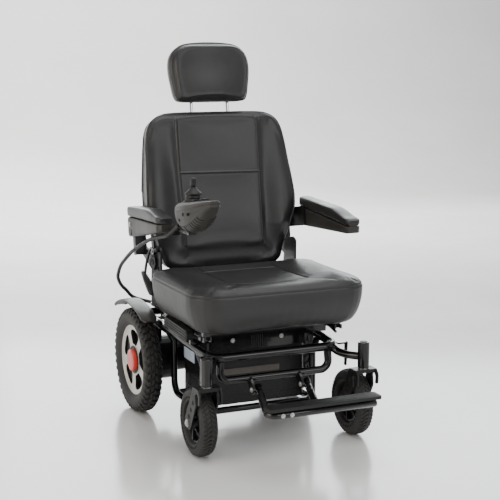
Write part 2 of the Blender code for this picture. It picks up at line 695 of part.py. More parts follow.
def make_controller():
    stations = [
        (-0.410, 0.654, 0.668, 0.681, 0.020),
        (-0.418, 0.640, 0.668, 0.690, 0.034),
        (-0.446, 0.622, 0.672, 0.699, 0.042),
        (-0.490, 0.619, 0.678, 0.702, 0.042),
        (-0.530, 0.634, 0.685, 0.708, 0.041),
        (-0.560, 0.657, 0.692, 0.712, 0.037),
        (-0.582, 0.678, 0.698, 0.713, 0.029),
        (-0.592, 0.691, 0.701, 0.711, 0.019),
    ]
    pivot = (-0.27, *ARM_PIVOT)
    lower = place(
        "controller_lower_shell",
        solid_from_rings([control_ring(y, low, mid - GAP, half) for y, low, mid, _, half in stations]),
        "moulded_plastic", pivot,
    )
    upper = place(
        "controller_upper_shell",
        solid_from_rings([control_ring(y, mid, high, half) for y, _, mid, high, half in stations]),
        "moulded_plastic", pivot,
    )
    x, y, z = STICK
    cut(lower, rod("z", 0.652, 0.72, 0.0180, (x, y), 20), "gimbal_pocket")
    cut(upper, rod("z", 0.62, 0.74, 0.0165, (x, y), 20), "stick_opening")
    buttons = (("power_button", -0.264, -0.522), ("horn_button", -0.232, -0.522))
    for name, button_x, button_y in buttons:
        cut(upper, rod("z", 0.7000, 0.73, 0.0066, (button_x, button_y), 16), f"{name}_pocket")
        cap = rod("z", 0.7025, 0.7090, 0.0060, (button_x, button_y), 16)
        place(name, cap, "rubber", (button_x, button_y, 0.7025))
    cut(upper, box((-0.2596, -0.2364), (-0.5512, -0.5408), (0.7030, 0.73)), "rocker_pocket")
    rocker = box((-0.2590, -0.2370), (-0.5506, -0.5414), (0.7050, 0.7125))
    place("speed_rocker", rocker, "rubber", (-0.248, -0.546, 0.7090))
    bracket = [(-0.2927, 0.5803), (-0.2927, 0.5883), (-0.3520, 0.5991), (-0.3700, 0.6175), (-0.4820, 0.6175)]
    bracket += [(-0.4820, 0.6095), (-0.3740, 0.6095), (-0.3560, 0.5911)]
    place("controller_bracket", prism(bracket, "yz", -0.267, -0.245), "frame_black", pivot)
    ring = [(-0.0030, 0.0070), (-0.0030, 0.0115), (0.0030, 0.0115), (0.0030, 0.0070)]
    place("joystick_gimbal", turned(ring, STICK, "z", 16), "rubber", STICK)
    knob = [(-0.0040, 0.0045), (0.0520, 0.0042), (0.0560, 0.0095), (0.0640, 0.0105)]
    knob += [(0.0780, 0.0090), (0.0830, 0.0060)]
    rings = [
        [(x + r * math.cos(math.pi * k / 7), y + r * math.sin(math.pi * k / 7), z + a) for k in range(14)]
        for a, r in knob
    ]
    place("joystick_knob", solid_from_rings(rings), "rubber", STICK)
    folds = [(0.0210, 0.0225), (0.0250, 0.0235), (0.0290, 0.0200), (0.0330, 0.0220), (0.0370, 0.0185)]
    folds += [(0.0410, 0.0200), (0.0450, 0.0120), (0.0495, 0.0080)]
    profile = folds + [(0.0495, 0.0060), (0.0430, 0.0095), (0.0210, 0.0165)]
    place("joystick_boot", turned(profile, STICK, "z", 20), "rubber", STICK)


def cable(name, route, radius):
    """A round lead along a smooth route, with flat ends."""
    line = bpy.data.curves.new(name, "CURVE")
    line.dimensions = "3D"
    line.bevel_depth = radius
    line.bevel_resolution = 2
    line.use_fill_caps = True
    spline = line.splines.new("POLY")
    points = smooth_route(route, 4)
    spline.points.add(len(points) - 1)
    for target, point in zip(spline.points, points):
        target.co = (*point, 1.0)
    line.materials.append(material("rubber"))
    made = bpy.data.objects.new(name, line)
    bpy.context.scene.collection.objects.link(made)
    made.parent = datum


ARM_LEAD = [
    (-0.272, -0.4230, 0.6290),
    (-0.275, -0.4000, 0.6150),
    (-0.280, -0.3550, 0.5920),
    (-0.282, -0.3150, 0.5830),
    (-0.285, -0.2600, 0.5710),
    (-0.286, -0.2100, 0.5570),
    (-0.286, -0.1600, 0.5400),
    (-0.286, -0.1060, 0.5200),
]
LEAD_LOOP = [
    (-0.286, -0.1040, 0.5192),
    (-0.286, -0.0670, 0.5040),
    (-0.286, -0.0230, 0.4820),
    (-0.285, 0.0390, 0.4490),
    (-0.283, 0.0730, 0.4220),
    (-0.279, 0.0950, 0.3980),
    (-0.262, 0.1200, 0.3700),
    (-0.238, 0.1380, 0.3460),
    (-0.217, 0.1470, 0.3240),
    (-0.195, 0.1180, 0.3160),
    (-0.174, 0.0820, 0.3130),
    (-0.158, 0.0560, 0.3020),
    (-0.154, 0.0460, 0.2860),
    (-0.154, 0.0460, 0.2740),
]


def make_footrest():
    """Two legs from the bumper's ears to a front tube, and the tread bar on it."""
    y, z = FOOT_BOLT
    left_end = (FOOT_X[0] + 0.006, FOOT_Y, FOOT_TUBE_Z)
    right_end = (FOOT_X[1] - 0.008, FOOT_Y, FOOT_TUBE_Z)
    path = [(-0.0620, y + 0.005, z + 0.010), (-0.0645, y - 0.012, z - 0.005), left_end, right_end]
    bar = tube(fillet(path, [0, 0.015, 0.022, 0], 5), FOOT_TUBE_R, 10)
    frame = place("footrest_frame", bar, "frame_black", (0, y, z))
    path = [(0.0870, y + 0.005, z + 0.010), (0.0845, y - 0.012, z - 0.005)]
    path.append((0.012, FOOT_Y, FOOT_TUBE_Z + 0.001))
    join(frame, tube(fillet(path, 0.015, 5), FOOT_TUBE_R - 0.0006, 10), "leg")
    for x, label in ((-0.0630, "pin_a"), (0.0860, "pin_b")):
        join(frame, rod("x", x - 0.0225, x, 0.0042, (y, z), 12), label)
        join(frame, rod("x", x - 0.0240, x - 0.0192, 0.0075, (y, z), 6), f"{label}_head")
    rest = FOOT_TUBE_Z + FOOT_TUBE_R + GAP
    front, rear = FOOT_Y - 0.022, FOOT_Y + 0.022
    corners = [(FOOT_X[0], front), (FOOT_X[1], front), (FOOT_X[1], rear), (FOOT_X[0], rear)]
    plate = prism(fillet(corners, 0.006, 2, True), "xy", rest + 0.004, rest + 0.014)
    tread = place("footplate", plate, "rubber", (0, y, z))
    for i, x in enumerate((-0.110, 0.040, 0.165)):
        foot = box((x - 0.008, x + 0.008), (FOOT_Y - 0.005, FOOT_Y + 0.005), (rest, rest + 0.006))
        join(tread, foot, f"foot_{i}")


def build():
    make_upper_loop()
    make_bumper()
    make_base_frame()
    make_batteries()
    make_control_module()
    make_crossbars()
    make_seat()
    make_recline_lever()
    make_back()
    make_headrest()
    make_controller()
    make_footrest()
    for side in (RIGHT, LEFT):
        make_drive(side)
        make_fender(side)
        make_caster_arm(side)
        make_caster(side)
        make_recliner(side)
        make_back_bracket(side)
        make_armrest(side)
    cable("cable_arm_run", ARM_LEAD, 0.0055)
    cable("cable_loop", LEAD_LOOP, 0.0055)


for old in list(bpy.data.objects):
    bpy.data.objects.remove(old)
datum = bpy.data.objects.new("chair_datum", None)
bpy.context.scene.collection.objects.link(datum)
datum.location = (0, AXLE_Y, 0)
build()
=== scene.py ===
"""Looks of the power wheelchair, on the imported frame: upholstery, tyres, tubes, controller and materials.

Lengths are in metres. Shapes are drawn from the drive axle, on the floor under it: x across (the chair's
right is -x), y back from the axle and z up. `piece` moves them AXLE_Y back into the row frame.
"""

import json
import math

import bmesh
import bpy
import numpy as np
from mathutils import Matrix, Vector
from mathutils.kdtree import KDTree


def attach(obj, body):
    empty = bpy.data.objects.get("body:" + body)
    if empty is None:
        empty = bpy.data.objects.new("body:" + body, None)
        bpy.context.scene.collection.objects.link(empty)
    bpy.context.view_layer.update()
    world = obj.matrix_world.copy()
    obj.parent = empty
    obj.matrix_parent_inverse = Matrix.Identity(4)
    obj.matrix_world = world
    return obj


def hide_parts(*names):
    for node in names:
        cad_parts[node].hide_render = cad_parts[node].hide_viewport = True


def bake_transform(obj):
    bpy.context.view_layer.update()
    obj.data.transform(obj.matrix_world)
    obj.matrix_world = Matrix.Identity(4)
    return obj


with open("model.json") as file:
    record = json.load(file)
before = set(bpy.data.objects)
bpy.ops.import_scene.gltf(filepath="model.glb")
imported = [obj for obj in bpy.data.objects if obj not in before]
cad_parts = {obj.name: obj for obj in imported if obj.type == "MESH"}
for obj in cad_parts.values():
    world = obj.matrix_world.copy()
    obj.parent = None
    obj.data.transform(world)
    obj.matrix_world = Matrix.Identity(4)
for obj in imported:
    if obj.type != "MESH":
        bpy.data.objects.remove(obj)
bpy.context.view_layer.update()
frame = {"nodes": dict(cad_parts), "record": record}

AXLE_Y = 0.275
RIGHT, LEFT = -1, 1
NAMES = {RIGHT: "right", LEFT: "left"}
LEAN = math.radians(9.7)  # of the backrest
BACK_ORIGIN = (0, -0.114, 0.455)  # front of the backrest's lower edge
SEAT_FRONT = -0.52
WHEEL_X, WHEEL_Z = 0.2505, 0.159
CASTER_X, CASTER_Y, CASTER_Z = 0.236, -0.466, 0.095
SWIVEL_Y = -0.528
BUMPER_Y, BUMPER_Z = -0.45, 0.195
FOOT_PIN = (-0.474, 0.168)  # y and z of the footrest's bolts
BASE_Z = 0.0765
ARM_PIN = (-0.09, 0.588)  # y and z of the armrests' pivots
LEVER_PIN = (-0.112, 0.508)  # y and z of the recline lever's pivot
STICK_X, STICK_Y, STICK_Z = -0.248, -0.47, 0.6745


# Materials


def node_of(tree, kind, **values):
    made = tree.nodes.new(kind)
    for key, value in values.items():
        if hasattr(made, key):
            setattr(made, key, value)
        else:
            made.inputs[key.replace("_", " ")].default_value = value
    return made


def vary(made, scale, dark, light, rough_low, rough_high, detail=6.0):
    """Mottles the colour between two tones, and the roughness between two values, with noise."""
    tree = made.node_tree
    shader = tree.nodes["Principled BSDF"]
    place = node_of(tree, "ShaderNodeTexCoord")
    noise = node_of(tree, "ShaderNodeTexNoise", Scale=scale, Detail=detail, Roughness=0.55)
    tree.links.new(place.outputs["Object"], noise.inputs["Vector"])
    tones = node_of(tree, "ShaderNodeValToRGB")
    tones.color_ramp.elements[0].position = 0.32
    tones.color_ramp.elements[1].position = 0.68
    tones.color_ramp.elements[0].color = (*dark, 1)
    tones.color_ramp.elements[1].color = (*light, 1)
    tree.links.new(noise.outputs["Fac"], tones.inputs["Fac"])
    tree.links.new(tones.outputs["Color"], shader.inputs["Base Color"])
    spread = node_of(tree, "ShaderNodeMapRange")
    spread.inputs["From Min"].default_value = 0.3
    spread.inputs["From Max"].default_value = 0.7
    spread.inputs["To Min"].default_value = rough_low
    spread.inputs["To Max"].default_value = rough_high
    tree.links.new(noise.outputs["Fac"], spread.inputs["Value"])
    tree.links.new(spread.outputs["Result"], shader.inputs["Roughness"])
    return made


def rough_up(made, layers):
    """Adds bump layers, each (kind, scale, height in metres, strength)."""
    tree = made.node_tree
    shader = tree.nodes["Principled BSDF"]
    place = node_of(tree, "ShaderNodeTexCoord")
    last = None
    for kind, scale, height, strength in layers:
        if kind == "cells":
            source = node_of(tree, "ShaderNodeTexVoronoi", Scale=scale)
            out = source.outputs["Distance"]
        else:
            source = node_of(tree, "ShaderNodeTexNoise", Scale=scale, Detail=3.0)
            out = source.outputs["Fac"]
        tree.links.new(place.outputs["Object"], source.inputs["Vector"])
        bump = node_of(tree, "ShaderNodeBump", Strength=strength, Distance=height)
        tree.links.new(out, bump.inputs["Height"])
        if last:
            tree.links.new(last.outputs["Normal"], bump.inputs["Normal"])
        last = bump
    tree.links.new(last.outputs["Normal"], shader.inputs["Normal"])
    return made


def finish(name, colour, roughness, metallic, sockets, mottle, *bumps):
    """A finish with the shader's other socket values, its mottling (what vary takes) and any bump layers."""
    made = bpy.data.materials.new(name)
    made.use_nodes = True
    shader = made.node_tree.nodes["Principled BSDF"]
    sockets = {"Base Color": (*colour, 1), "Roughness": roughness, "Metallic": metallic} | sockets
    for key, value in sockets.items():
        shader.inputs[key].default_value = value
    vary(made, *mottle)
    if bumps:
        rough_up(made, bumps)
    return made


FINISH = {
    "leather": finish(
        "leather_charcoal", (0.03, 0.03, 0.03), 0.42, 0.0, {"Specular IOR Level": 0.55},
        (9.0, (0.0175, 0.017, 0.0175), (0.0255, 0.0248, 0.0252), 0.34, 0.44),
        ("cells", 620.0, 0.0006, 0.22), ("noise", 1900.0, 0.0004, 0.14), ("noise", 38.0, 0.004, 0.1),
    ),
    "frame_black": finish(
        "gloss_black_paint", (0.008, 0.008, 0.009), 0.2, 0.0,
        {"Specular IOR Level": 0.35, "Coat Weight": 0.55, "Coat Roughness": 0.05},
        (30.0, (0.003, 0.003, 0.0035), (0.006, 0.006, 0.006), 0.14, 0.22), ("noise", 260.0, 0.0004, 0.05),
    ),
    "motor_black": finish(
        "cast_black", (0.014, 0.014, 0.015), 0.35, 0.0, {"Specular IOR Level": 0.35},
        (45.0, (0.006, 0.006, 0.0065), (0.013, 0.0125, 0.0125), 0.32, 0.48), ("noise", 900.0, 0.0005, 0.25),
    ),
    "moulded_plastic": finish(
        "moulded_grey", (0.05, 0.047, 0.043), 0.45, 0.0, {},
        (22.0, (0.028, 0.0255, 0.0225), (0.039, 0.0355, 0.0315), 0.38, 0.5),
        ("cells", 1100.0, 0.0004, 0.25), ("noise", 60.0, 0.002, 0.06),
    ),
    "case_plastic": finish(
        "case_black", (0.014, 0.014, 0.016), 0.32, 0.0, {"Specular IOR Level": 0.32},
        (18.0, (0.005, 0.005, 0.0055), (0.009, 0.009, 0.0095), 0.24, 0.34), ("cells", 900.0, 0.0004, 0.15),
    ),
    "rubber": finish(
        "black_rubber", (0.016, 0.015, 0.015), 0.55, 0.0, {},
        (60.0, (0.008, 0.0078, 0.0075), (0.015, 0.0145, 0.014), 0.44, 0.6), ("noise", 1400.0, 0.0004, 0.18),
    ),
    "tyre": finish(
        "tyre_rubber", (0.02, 0.019, 0.018), 0.7, 0.0, {},
        (34.0, (0.019, 0.018, 0.018), (0.04, 0.038, 0.036), 0.55, 0.75), ("noise", 1200.0, 0.0005, 0.25),
    ),
    "rim_silver": finish(
        "rim_warm_silver", (0.8, 0.77, 0.7), 0.34, 0.15, {"Coat Weight": 0.4, "Coat Roughness": 0.15},
        (70.0, (0.6, 0.575, 0.52), (0.7, 0.675, 0.62), 0.28, 0.4), ("noise", 700.0, 0.0003, 0.08),
    ),
    "red_cap": finish(
        "cap_red", (0.8, 0.035, 0.02), 0.32, 0.0, {"Coat Weight": 0.5, "Coat Roughness": 0.1},
        (120.0, (0.78, 0.032, 0.018), (0.86, 0.055, 0.035), 0.28, 0.36), ("noise", 900.0, 0.0003, 0.08),
    ),
    "chrome": finish(
        "chrome", (0.78, 0.79, 0.8), 0.08, 1.0, {},
        (90.0, (0.74, 0.75, 0.77), (0.82, 0.82, 0.83), 0.06, 0.14),
    ),
    "steel": finish(
        "zinc_bolt", (0.55, 0.55, 0.53), 0.3, 1.0, {},
        (300.0, (0.48, 0.48, 0.46), (0.66, 0.65, 0.62), 0.24, 0.4),
    ),
    # Near-black: painted shade in holes, grooves, openings and behind the rim's windows, and the real black
    # paint of the rim's pockets.
    "gap": finish(
        "shade_and_black_paint", (0.004, 0.004, 0.004), 0.8, 0.0, {},
        (100.0, (0.003, 0.003, 0.003), (0.006, 0.006, 0.006), 0.75, 0.85),
    ),
    "plate": finish(
        "strip_bronze", (0.1, 0.088, 0.078), 0.42, 0.0, {},
        (40.0, (0.09, 0.078, 0.068), (0.115, 0.102, 0.092), 0.36, 0.5),
    ),
    "label": finish(
        "label_blue", (0.5, 0.6, 0.72), 0.4, 0.0, {},
        (60.0, (0.46, 0.57, 0.7), (0.56, 0.65, 0.76), 0.35, 0.45),
    ),
}
FINISH["caster_rim"] = FINISH["case_plastic"]


def dress_frame():
    """Gives every CAD node that stays its detailed material, a satin one on the brackets."""
    slots = {s["node"]: s["material_slot"] for s in frame["record"]["subparts"]}
    satin = ("controller_bracket", "back_bracket", "recliner_plate")
    for name, node in frame["nodes"].items():
        made = FINISH["motor_black" if name.startswith(satin) else slots[name]]
        if not node.material_slots:
            node.data.materials.append(made)
        for each in node.material_slots:
            each.material = made


# Shape helpers


def fillet(points, radius, steps=6, closed=False):
    points = [Vector(p) for p in points]
    radii = radius if isinstance(radius, (list, tuple)) else [radius] * len(points)
    out = []
    for i, corner in enumerate(points):
        if (not closed and i in (0, len(points) - 1)) or radii[i] <= 0:
            out.append(corner)
            continue
        to_last = (points[i - 1] - corner).normalized()
        to_next = (points[(i + 1) % len(points)] - corner).normalized()
        angle = to_last.angle(to_next)
        if angle > math.pi - 0.01:
            out.append(corner)
            continue
        centre = corner + (to_last + to_next).normalized() * radii[i] / math.sin(angle / 2)
        run = radii[i] / math.tan(angle / 2)
        start, end = corner + to_last * run - centre, corner + to_next * run - centre
        turn = start.angle(end)
        for k in range(steps + 1):
            t = k / steps
            bend = start * math.sin((1 - t) * turn) + end * math.sin(t * turn)
            out.append(centre + bend / math.sin(turn))
    return out


def curve_point(a, b, c, d, t):
    """A point between b and c, t of the way along the smooth curve that passes through a, b, c and d."""
    cubic = (3 * b - a - 3 * c + d) * t**3
    return 0.5 * (2 * b + (c - a) * t + (2 * a - 5 * b + 4 * c - d) * t * t + cubic)


def smooth_route(points, steps):
    points = [Vector(p) for p in points]
    padded = [2 * points[0] - points[1], *points, 2 * points[-1] - points[-2]]
    out = []
    for four in zip(padded, padded[1:], padded[2:], padded[3:]):
        out += [curve_point(*four, k / steps) for k in range(steps)]
    out.append(points[-1])
    return out


def smooth_closed(points, steps):
    """A smooth closed outline through the points."""
    count = len(points)
    out = []
    for i in range(count):
        four = [Vector((*points[(i + k) % count], 0)) for k in (-1, 0, 1, 2)]
        out += [tuple(curve_point(*four, k / steps).xy) for k in range(steps)]
    return out


def add_rings(bm, rings, closed=False, slot=0):
    loops = [[bm.verts.new(p) for p in ring] for ring in rings]
    pairs = list(zip(loops, loops[1:]))
    if closed:
        pairs.append((loops[-1], loops[0]))
    for low, high in pairs:
        for i in range(len(low)):
            j = (i + 1) % len(low)
            bm.faces.new((low[i], low[j], high[j], high[i])).material_index = slot
    if not closed:
        bm.faces.new(loops[0]).material_index = slot
        bm.faces.new(loops[-1]).material_index = slot


def add_tube(bm, path, radius, sides=18, closed=False, slot=0, round_ends=True):
    """A round bar; radius may be a number, or one for each point. Open ends get a small round-over."""
    path = [Vector(p) for p in path]
    radii = list(radius) if isinstance(radius, (list, tuple)) else [radius] * len(path)
    if not closed and round_ends:
        first, last = (path[1] - path[0]).normalized(), (path[-1] - path[-2]).normalized()
        ease = min(radii[0], radii[-1]) * 0.18
        path = [path[0], path[0] + first * ease, *path[1:-1], path[-1] - last * ease, path[-1]]
        radii = [radii[0] * 0.82, radii[0], *radii[1:-1], radii[-1], radii[-1] * 0.82]
    rings, side = [], None
    count = len(path)
    for i, point in enumerate(path):
        before = path[i - 1] if closed or i else point
        after = path[(i + 1) % count] if closed or i < count - 1 else point
        along = (after - before).normalized()
        if side is None:
            side = along.orthogonal().normalized()
        side = (side - along * side.dot(along)).normalized()
        other = along.cross(side)
        ring = []
        for k in range(sides):
            a = 2 * math.pi * k / sides
            ring.append(point + (side * math.cos(a) + other * math.sin(a)) * radii[i])
        rings.append(ring)
    add_rings(bm, rings, closed, slot)


def turned_point(along, radius, a, centre, axis):
    u, v = radius * math.cos(a), radius * math.sin(a)
    offset = {"x": (along, u, v), "y": (u, along, v), "z": (u, v, along)}[axis]
    return Vector(centre) + Vector(offset)


def add_lathe(bm, profile, centre, axis, segments=48, slot=0):
    """Turns a closed profile of (along, radius) points about an axis."""
    angles = [2 * math.pi * i / segments for i in range(segments)]
    add_rings(bm, [[turned_point(*p, a, centre, axis) for p in profile] for a in angles], True, slot)


def add_spindle(bm, profile, centre, axis, segments=48, slot=0):
    """Turns an open profile, whose ends become flat caps, into a solid."""
    angles = [2 * math.pi * i / segments for i in range(segments)]
    add_rings(bm, [[turned_point(*p, a, centre, axis) for a in angles] for p in profile], False, slot)


def add_prism(bm, outline, plane, low, high, bevel=0.0, slot=0, segments=2):
    """Extrudes an outline, its edges rounded over by the bevel."""
    part = bmesh.new()
    place = {"yz": lambda p, h: (h, p[0], p[1]), "xz": lambda p, h: (p[0], h, p[1]),
             "xy": lambda p, h: (p[0], p[1], h)}[plane]
    add_rings(part, [[place(p, h) for p in outline] for h in (low, high)], False, slot)
    if bevel:
        edges = [e for e in part.edges if e.calc_face_angle(0) > 0.6]
        bmesh.ops.bevel(part, geom=edges, offset=bevel, segments=segments, profile=0.5, affect="EDGES")
    pour(part, bm, slot)


def pour(part, bm, slot=0):
    """Adds one bmesh to another, with one material slot."""
    bmesh.ops.recalc_face_normals(part, faces=part.faces)
    for face in part.faces:
        face.material_index = slot
    carrier = bpy.data.meshes.new("carrier")
    part.to_mesh(carrier)
    part.free()
    bm.from_mesh(carrier)
    bpy.data.meshes.remove(carrier)


def add_box(bm, x, y, z, bevel=0.001, slot=0):
    x, y, z = sorted(x), sorted(y), sorted(z)
    add_prism(bm, [(x[0], y[0]), (x[1], y[0]), (x[1], y[1]), (x[0], y[1])], "xy", z[0], z[1], bevel, slot)


def add_bolt(bm, at, axis, way, radius=0.005, height=0.004, slot=0):
    """A domed bolt head on a washer, facing along way times the axis."""
    profile = [(0, radius * 1.35), (height * 0.22, radius * 1.35), (height * 0.22, radius)]
    profile += [(height * 0.75, radius * 0.94), (height, radius * 0.55), (height, 0.0006)]
    add_spindle(bm, [(way * a, r) for a, r in profile], at, axis, 20, slot)


def linked(name, mesh):
    made = bpy.data.objects.new(name, mesh)
    bpy.context.scene.collection.objects.link(made)
    return made


def object_of(name, bm):
    """A plain object from a bmesh, which it frees."""
    mesh = bpy.data.meshes.new(name)
    bm.to_mesh(mesh)
    bm.free()
    return linked(name, mesh)


def span_of(side, near, far):
    """The two x positions, lower first, of something between two distances from the middle."""
    return sorted((side * near, side * far))


def flipped(side, profile):
    """A profile about the x axis, turned to face out on one side."""
    return [(side * a, r) for a, r in profile]


def piece(bm, name, finishes, body, hides=(), angle=35, recalc=True):
    """Turns the bmesh into a named piece that rides on a body and stands for some CAD nodes."""
    if recalc:
        bmesh.ops.recalc_face_normals(bm, faces=bm.faces)
    bmesh.ops.translate(bm, verts=bm.verts, vec=(0, AXLE_Y, 0))
    made = object_of(name, bm)
    finishes = [finishes] if isinstance(finishes, str) else finishes
    for each in finishes:
        made.data.materials.append(FINISH[each])
    made.data.shade_smooth()
    if angle:
        made.data.set_sharp_from_angle(angle=math.radians(angle))
    if body:
        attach(made, body)
    if hides:
        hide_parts(*hides)
    return made


def leaning(point):
    """A point of the backrest's leaning frame (x, depth, height) in chair coordinates."""
    x, v, w = point
    return (
        x,
        BACK_ORIGIN[1] + v * math.cos(LEAN) + w * math.sin(LEAN),
        BACK_ORIGIN[2] + w * math.cos(LEAN) - v * math.sin(LEAN),
    )


# Camera, light and floor


def make_camera():
    camera = bpy.data.cameras.new("camera")
    camera.sensor_width = 36
    camera.lens = 86.4
    camera.clip_end = 60
    made = linked("camera", camera)
    made.location = (-1.377, -3.384 + AXLE_Y, 1.09)
    made.rotation_euler = (math.radians(90 - 9.5), 0, math.radians(-23.9))
    bpy.context.scene.camera = made


def make_lamp(name, at, aim, size, power, colour):
    lamp = bpy.data.lights.new(name, "AREA")
    lamp.shape = "RECTANGLE"
    lamp.size, lamp.size_y = size
    lamp.energy = power
    lamp.color = colour
    made = linked(name, lamp)
    made.location = at
    made.rotation_euler = (Vector(aim) - Vector(at)).to_track_quat("-Z", "Y").to_euler()


def make_stage():
    world = bpy.data.worlds.new("studio")
    world.use_nodes = True
    world.node_tree.nodes["Background"].inputs["Color"].default_value = (0.93, 0.95, 0.97, 1)
    world.node_tree.nodes["Background"].inputs["Strength"].default_value = 0.45
    bpy.context.scene.world = world
    bm = bmesh.new()
    wall_foot, sweep = 4.6, 3.0
    rows = [(-14.0, 0.0), (wall_foot, 0.0)]
    for k in range(1, 11):
        a = math.radians(9 * k)
        rows.append((wall_foot + sweep * math.sin(a), sweep - sweep * math.cos(a)))
    rows.append((wall_foot + sweep, 9.0))
    lines = [[bm.verts.new((x, y, z)) for x in (-14.0, 14.0)] for y, z in rows]
    for low, high in zip(lines, lines[1:]):
        bm.faces.new((low[0], low[1], high[1], high[0])).smooth = True
    ground = object_of("floor", bm)
    tones = (1.5, (0.88, 0.88, 0.865), (0.93, 0.93, 0.92), 0.15, 0.24, 3.0)
    coat = {"Coat Weight": 0.2, "Coat Roughness": 0.1}
    pale = finish("floor_pale", (0.72, 0.72, 0.7), 0.16, 0.0, coat, tones)
    ground.data.materials.append(pale)
    make_lamp("window", (2.2, 4.2, 2.6), (0, 0.3, 0.6), (4.5, 2.6), 190, (0.93, 0.98, 1.0))
    make_lamp("wall_wash", (0.6, 3.2, 3.6), (0.8, 7.0, 0.9), (6.0, 1.2), 430, (1.0, 1.0, 1.0))
    make_lamp("left_fill", (-3.6, -0.6, 1.6), (0, 0, 0.6), (2.6, 2.2), 58, (1.0, 0.9, 0.78))
    make_lamp("ceiling", (0.2, -0.4, 3.6), (0, 0, 0), (3.2, 3.2), 70, (1.0, 0.99, 0.97))
    make_lamp("front_fill", (1.2, -4.2, 1.9), (0, 0, 0.5), (3.0, 1.8), 42, (1.0, 0.99, 0.97))


# Upholstery


class Outline:
    """A closed outline seen from its centre, as a radius for each direction."""

    def __init__(self, points, centre):
        points = [(p[0] - centre[0], p[1] - centre[1]) for p in points]
        dense = []
        for a, b in zip(points, points[1:] + points[:1]):
            for k in range(12):
                t = k / 12
                dense.append((a[0] + (b[0] - a[0]) * t, a[1] + (b[1] - a[1]) * t))
        angles = np.array([math.atan2(w, x) for x, w in dense])
        order = np.argsort(angles)
        self.angles = angles[order]
        self.radii = np.array([math.hypot(*dense[i]) for i in order])
        self.centre = centre
        self.half = (max(abs(p[0]) for p in points), max(abs(p[1]) for p in points))

    def reach(self, s, t):
        """The direction and radius of the outline towards the point (s, t) of the unit square."""
        dx, dw = s * self.half[0], t * self.half[1]
        angle = math.atan2(dw, dx)
        radius = float(np.interp(angle, self.angles, self.radii, period=2 * math.pi))
        return math.cos(angle), math.sin(angle), radius


def rounded_polygon(points, radius):
    return [(p.x, p.y) for p in fillet(points, radius, 6, closed=True)]


def make_pillow(outline, counts, front, rear, rings):
    """A closed cushion as (vertices, quads, ring indices): front and rear grids joined by the rings.

    front and rear give the depth at (x, w, share of the way out). Each ring is (inset, depth).
    """
    n, m = counts
    verts, quads = [], []

    def point(s, t, inset, depth):
        far = max(abs(s), abs(t))
        if far < 1e-9:
            return (outline.centre[0], outline.centre[1], depth(*outline.centre, 0))
        cos, sin, radius = outline.reach(s / far, t / far)
        run = (radius - inset) * far
        x, w = outline.centre[0] + cos * run, outline.centre[1] + sin * run
        return (x, w, depth(x, w, far))

    def sheet(inset, depth, flip):
        start = len(verts)
        for j in range(m + 1):
            for i in range(n + 1):
                verts.append(point(2 * i / n - 1, 2 * j / m - 1, inset, depth))
        for j in range(m):
            for i in range(n):
                a = start + j * (n + 1) + i
                quad = (a, a + 1, a + n + 2, a + n + 1)
                quads.append(quad[::-1] if flip else quad)
        loop = [start + i for i in range(n)]
        loop += [start + j * (n + 1) + n for j in range(m)]
        loop += [start + m * (n + 1) + i for i in range(n, 0, -1)]
        loop += [start + j * (n + 1) for j in range(m, 0, -1)]
        return loop

    corners = [(2 * i / n - 1, -1.0) for i in range(n)]
    corners += [(1.0, 2 * j / m - 1) for j in range(m)]
    corners += [(2 * i / n - 1, 1.0) for i in range(n, 0, -1)]
    corners += [(-1.0, 2 * j / m - 1) for j in range(m, 0, -1)]
    loops = [sheet(rings[0][0], front, False)]
    for inset, depth in rings[1:-1]:
        start = len(verts)
        for s, t in corners:
            depth_at = depth if callable(depth) else lambda x, w, far, d=depth: d
            verts.append(point(s, t, inset, depth_at))
        loops.append(list(range(start, start + len(corners))))
    loops.append(sheet(rings[-1][0], rear, True))
    count = len(corners)
    for low, high in zip(loops, loops[1:]):
        for i in range(count):
            j = (i + 1) % count
            quads.append((low[j], low[i], high[i], high[j]))
    return np.array(verts), quads, loops


SEAM_REACH = 0.0036  # points this near a seam don't move in the simulation
SEAM_DEPTH = 0.0026  # how far a seam is drawn in, and its half width


def seam_points(lines, depth, step=0.002):
    """Dense points along seam lines drawn on the front face."""
    out = []
    for line in lines:
        for a, b in zip(line, line[1:]):
            count = max(2, int(math.dist(a, b) / step))
            for k in range(count):
                t = k / count
                x, w = a[0] + (b[0] - a[0]) * t, a[1] + (b[1] - a[1]) * t
                out.append((x, w, depth(x, w, 0.5)))
    return out


def tree_of(points):
    tree = KDTree(len(points))
    for i, p in enumerate(points):
        tree.insert(p, i)
    tree.balance()
    return tree


def puff(name, verts, quads, held, cap):
    """Inflates a cushion with a short cloth simulation, its held points fixed, and caps how far it moves."""
    mesh = bpy.data.meshes.new(name)
    mesh.from_pydata([tuple(v) for v in verts], [], quads)
    bag = linked(name, mesh)
    group = bag.vertex_groups.new(name="held")
    group.add([int(i) for i in held], 1.0, "REPLACE")
    cloth = bag.modifiers.new("cloth", "CLOTH")
    settings = cloth.settings
    settings.quality = 5
    settings.mass = 0.3
    settings.tension_stiffness = 12
    settings.compression_stiffness = 12
    settings.shear_stiffness = 6
    settings.bending_stiffness = 2
    settings.use_pressure = True
    settings.uniform_pressure_force = 4
    settings.effector_weights.gravity = 0
    settings.vertex_group_mass = "held"
    settings.pin_stiffness = 1
    cloth.collision_settings.use_collision = False
    scene = bpy.context.scene
    for i in range(1, 21):
        scene.frame_set(i)
    seen = bag.evaluated_get(bpy.context.evaluated_depsgraph_get()).to_mesh()
    moved = np.array([v.co for v in seen.vertices], float)
    scene.frame_set(1)
    bpy.data.objects.remove(bag)
    shift = moved - verts
    run = np.linalg.norm(shift, axis=1)
    factor = np.minimum(1.0, cap * np.tanh(run / cap) / np.maximum(run, 1e-9))
    return verts + shift * factor[:, None]


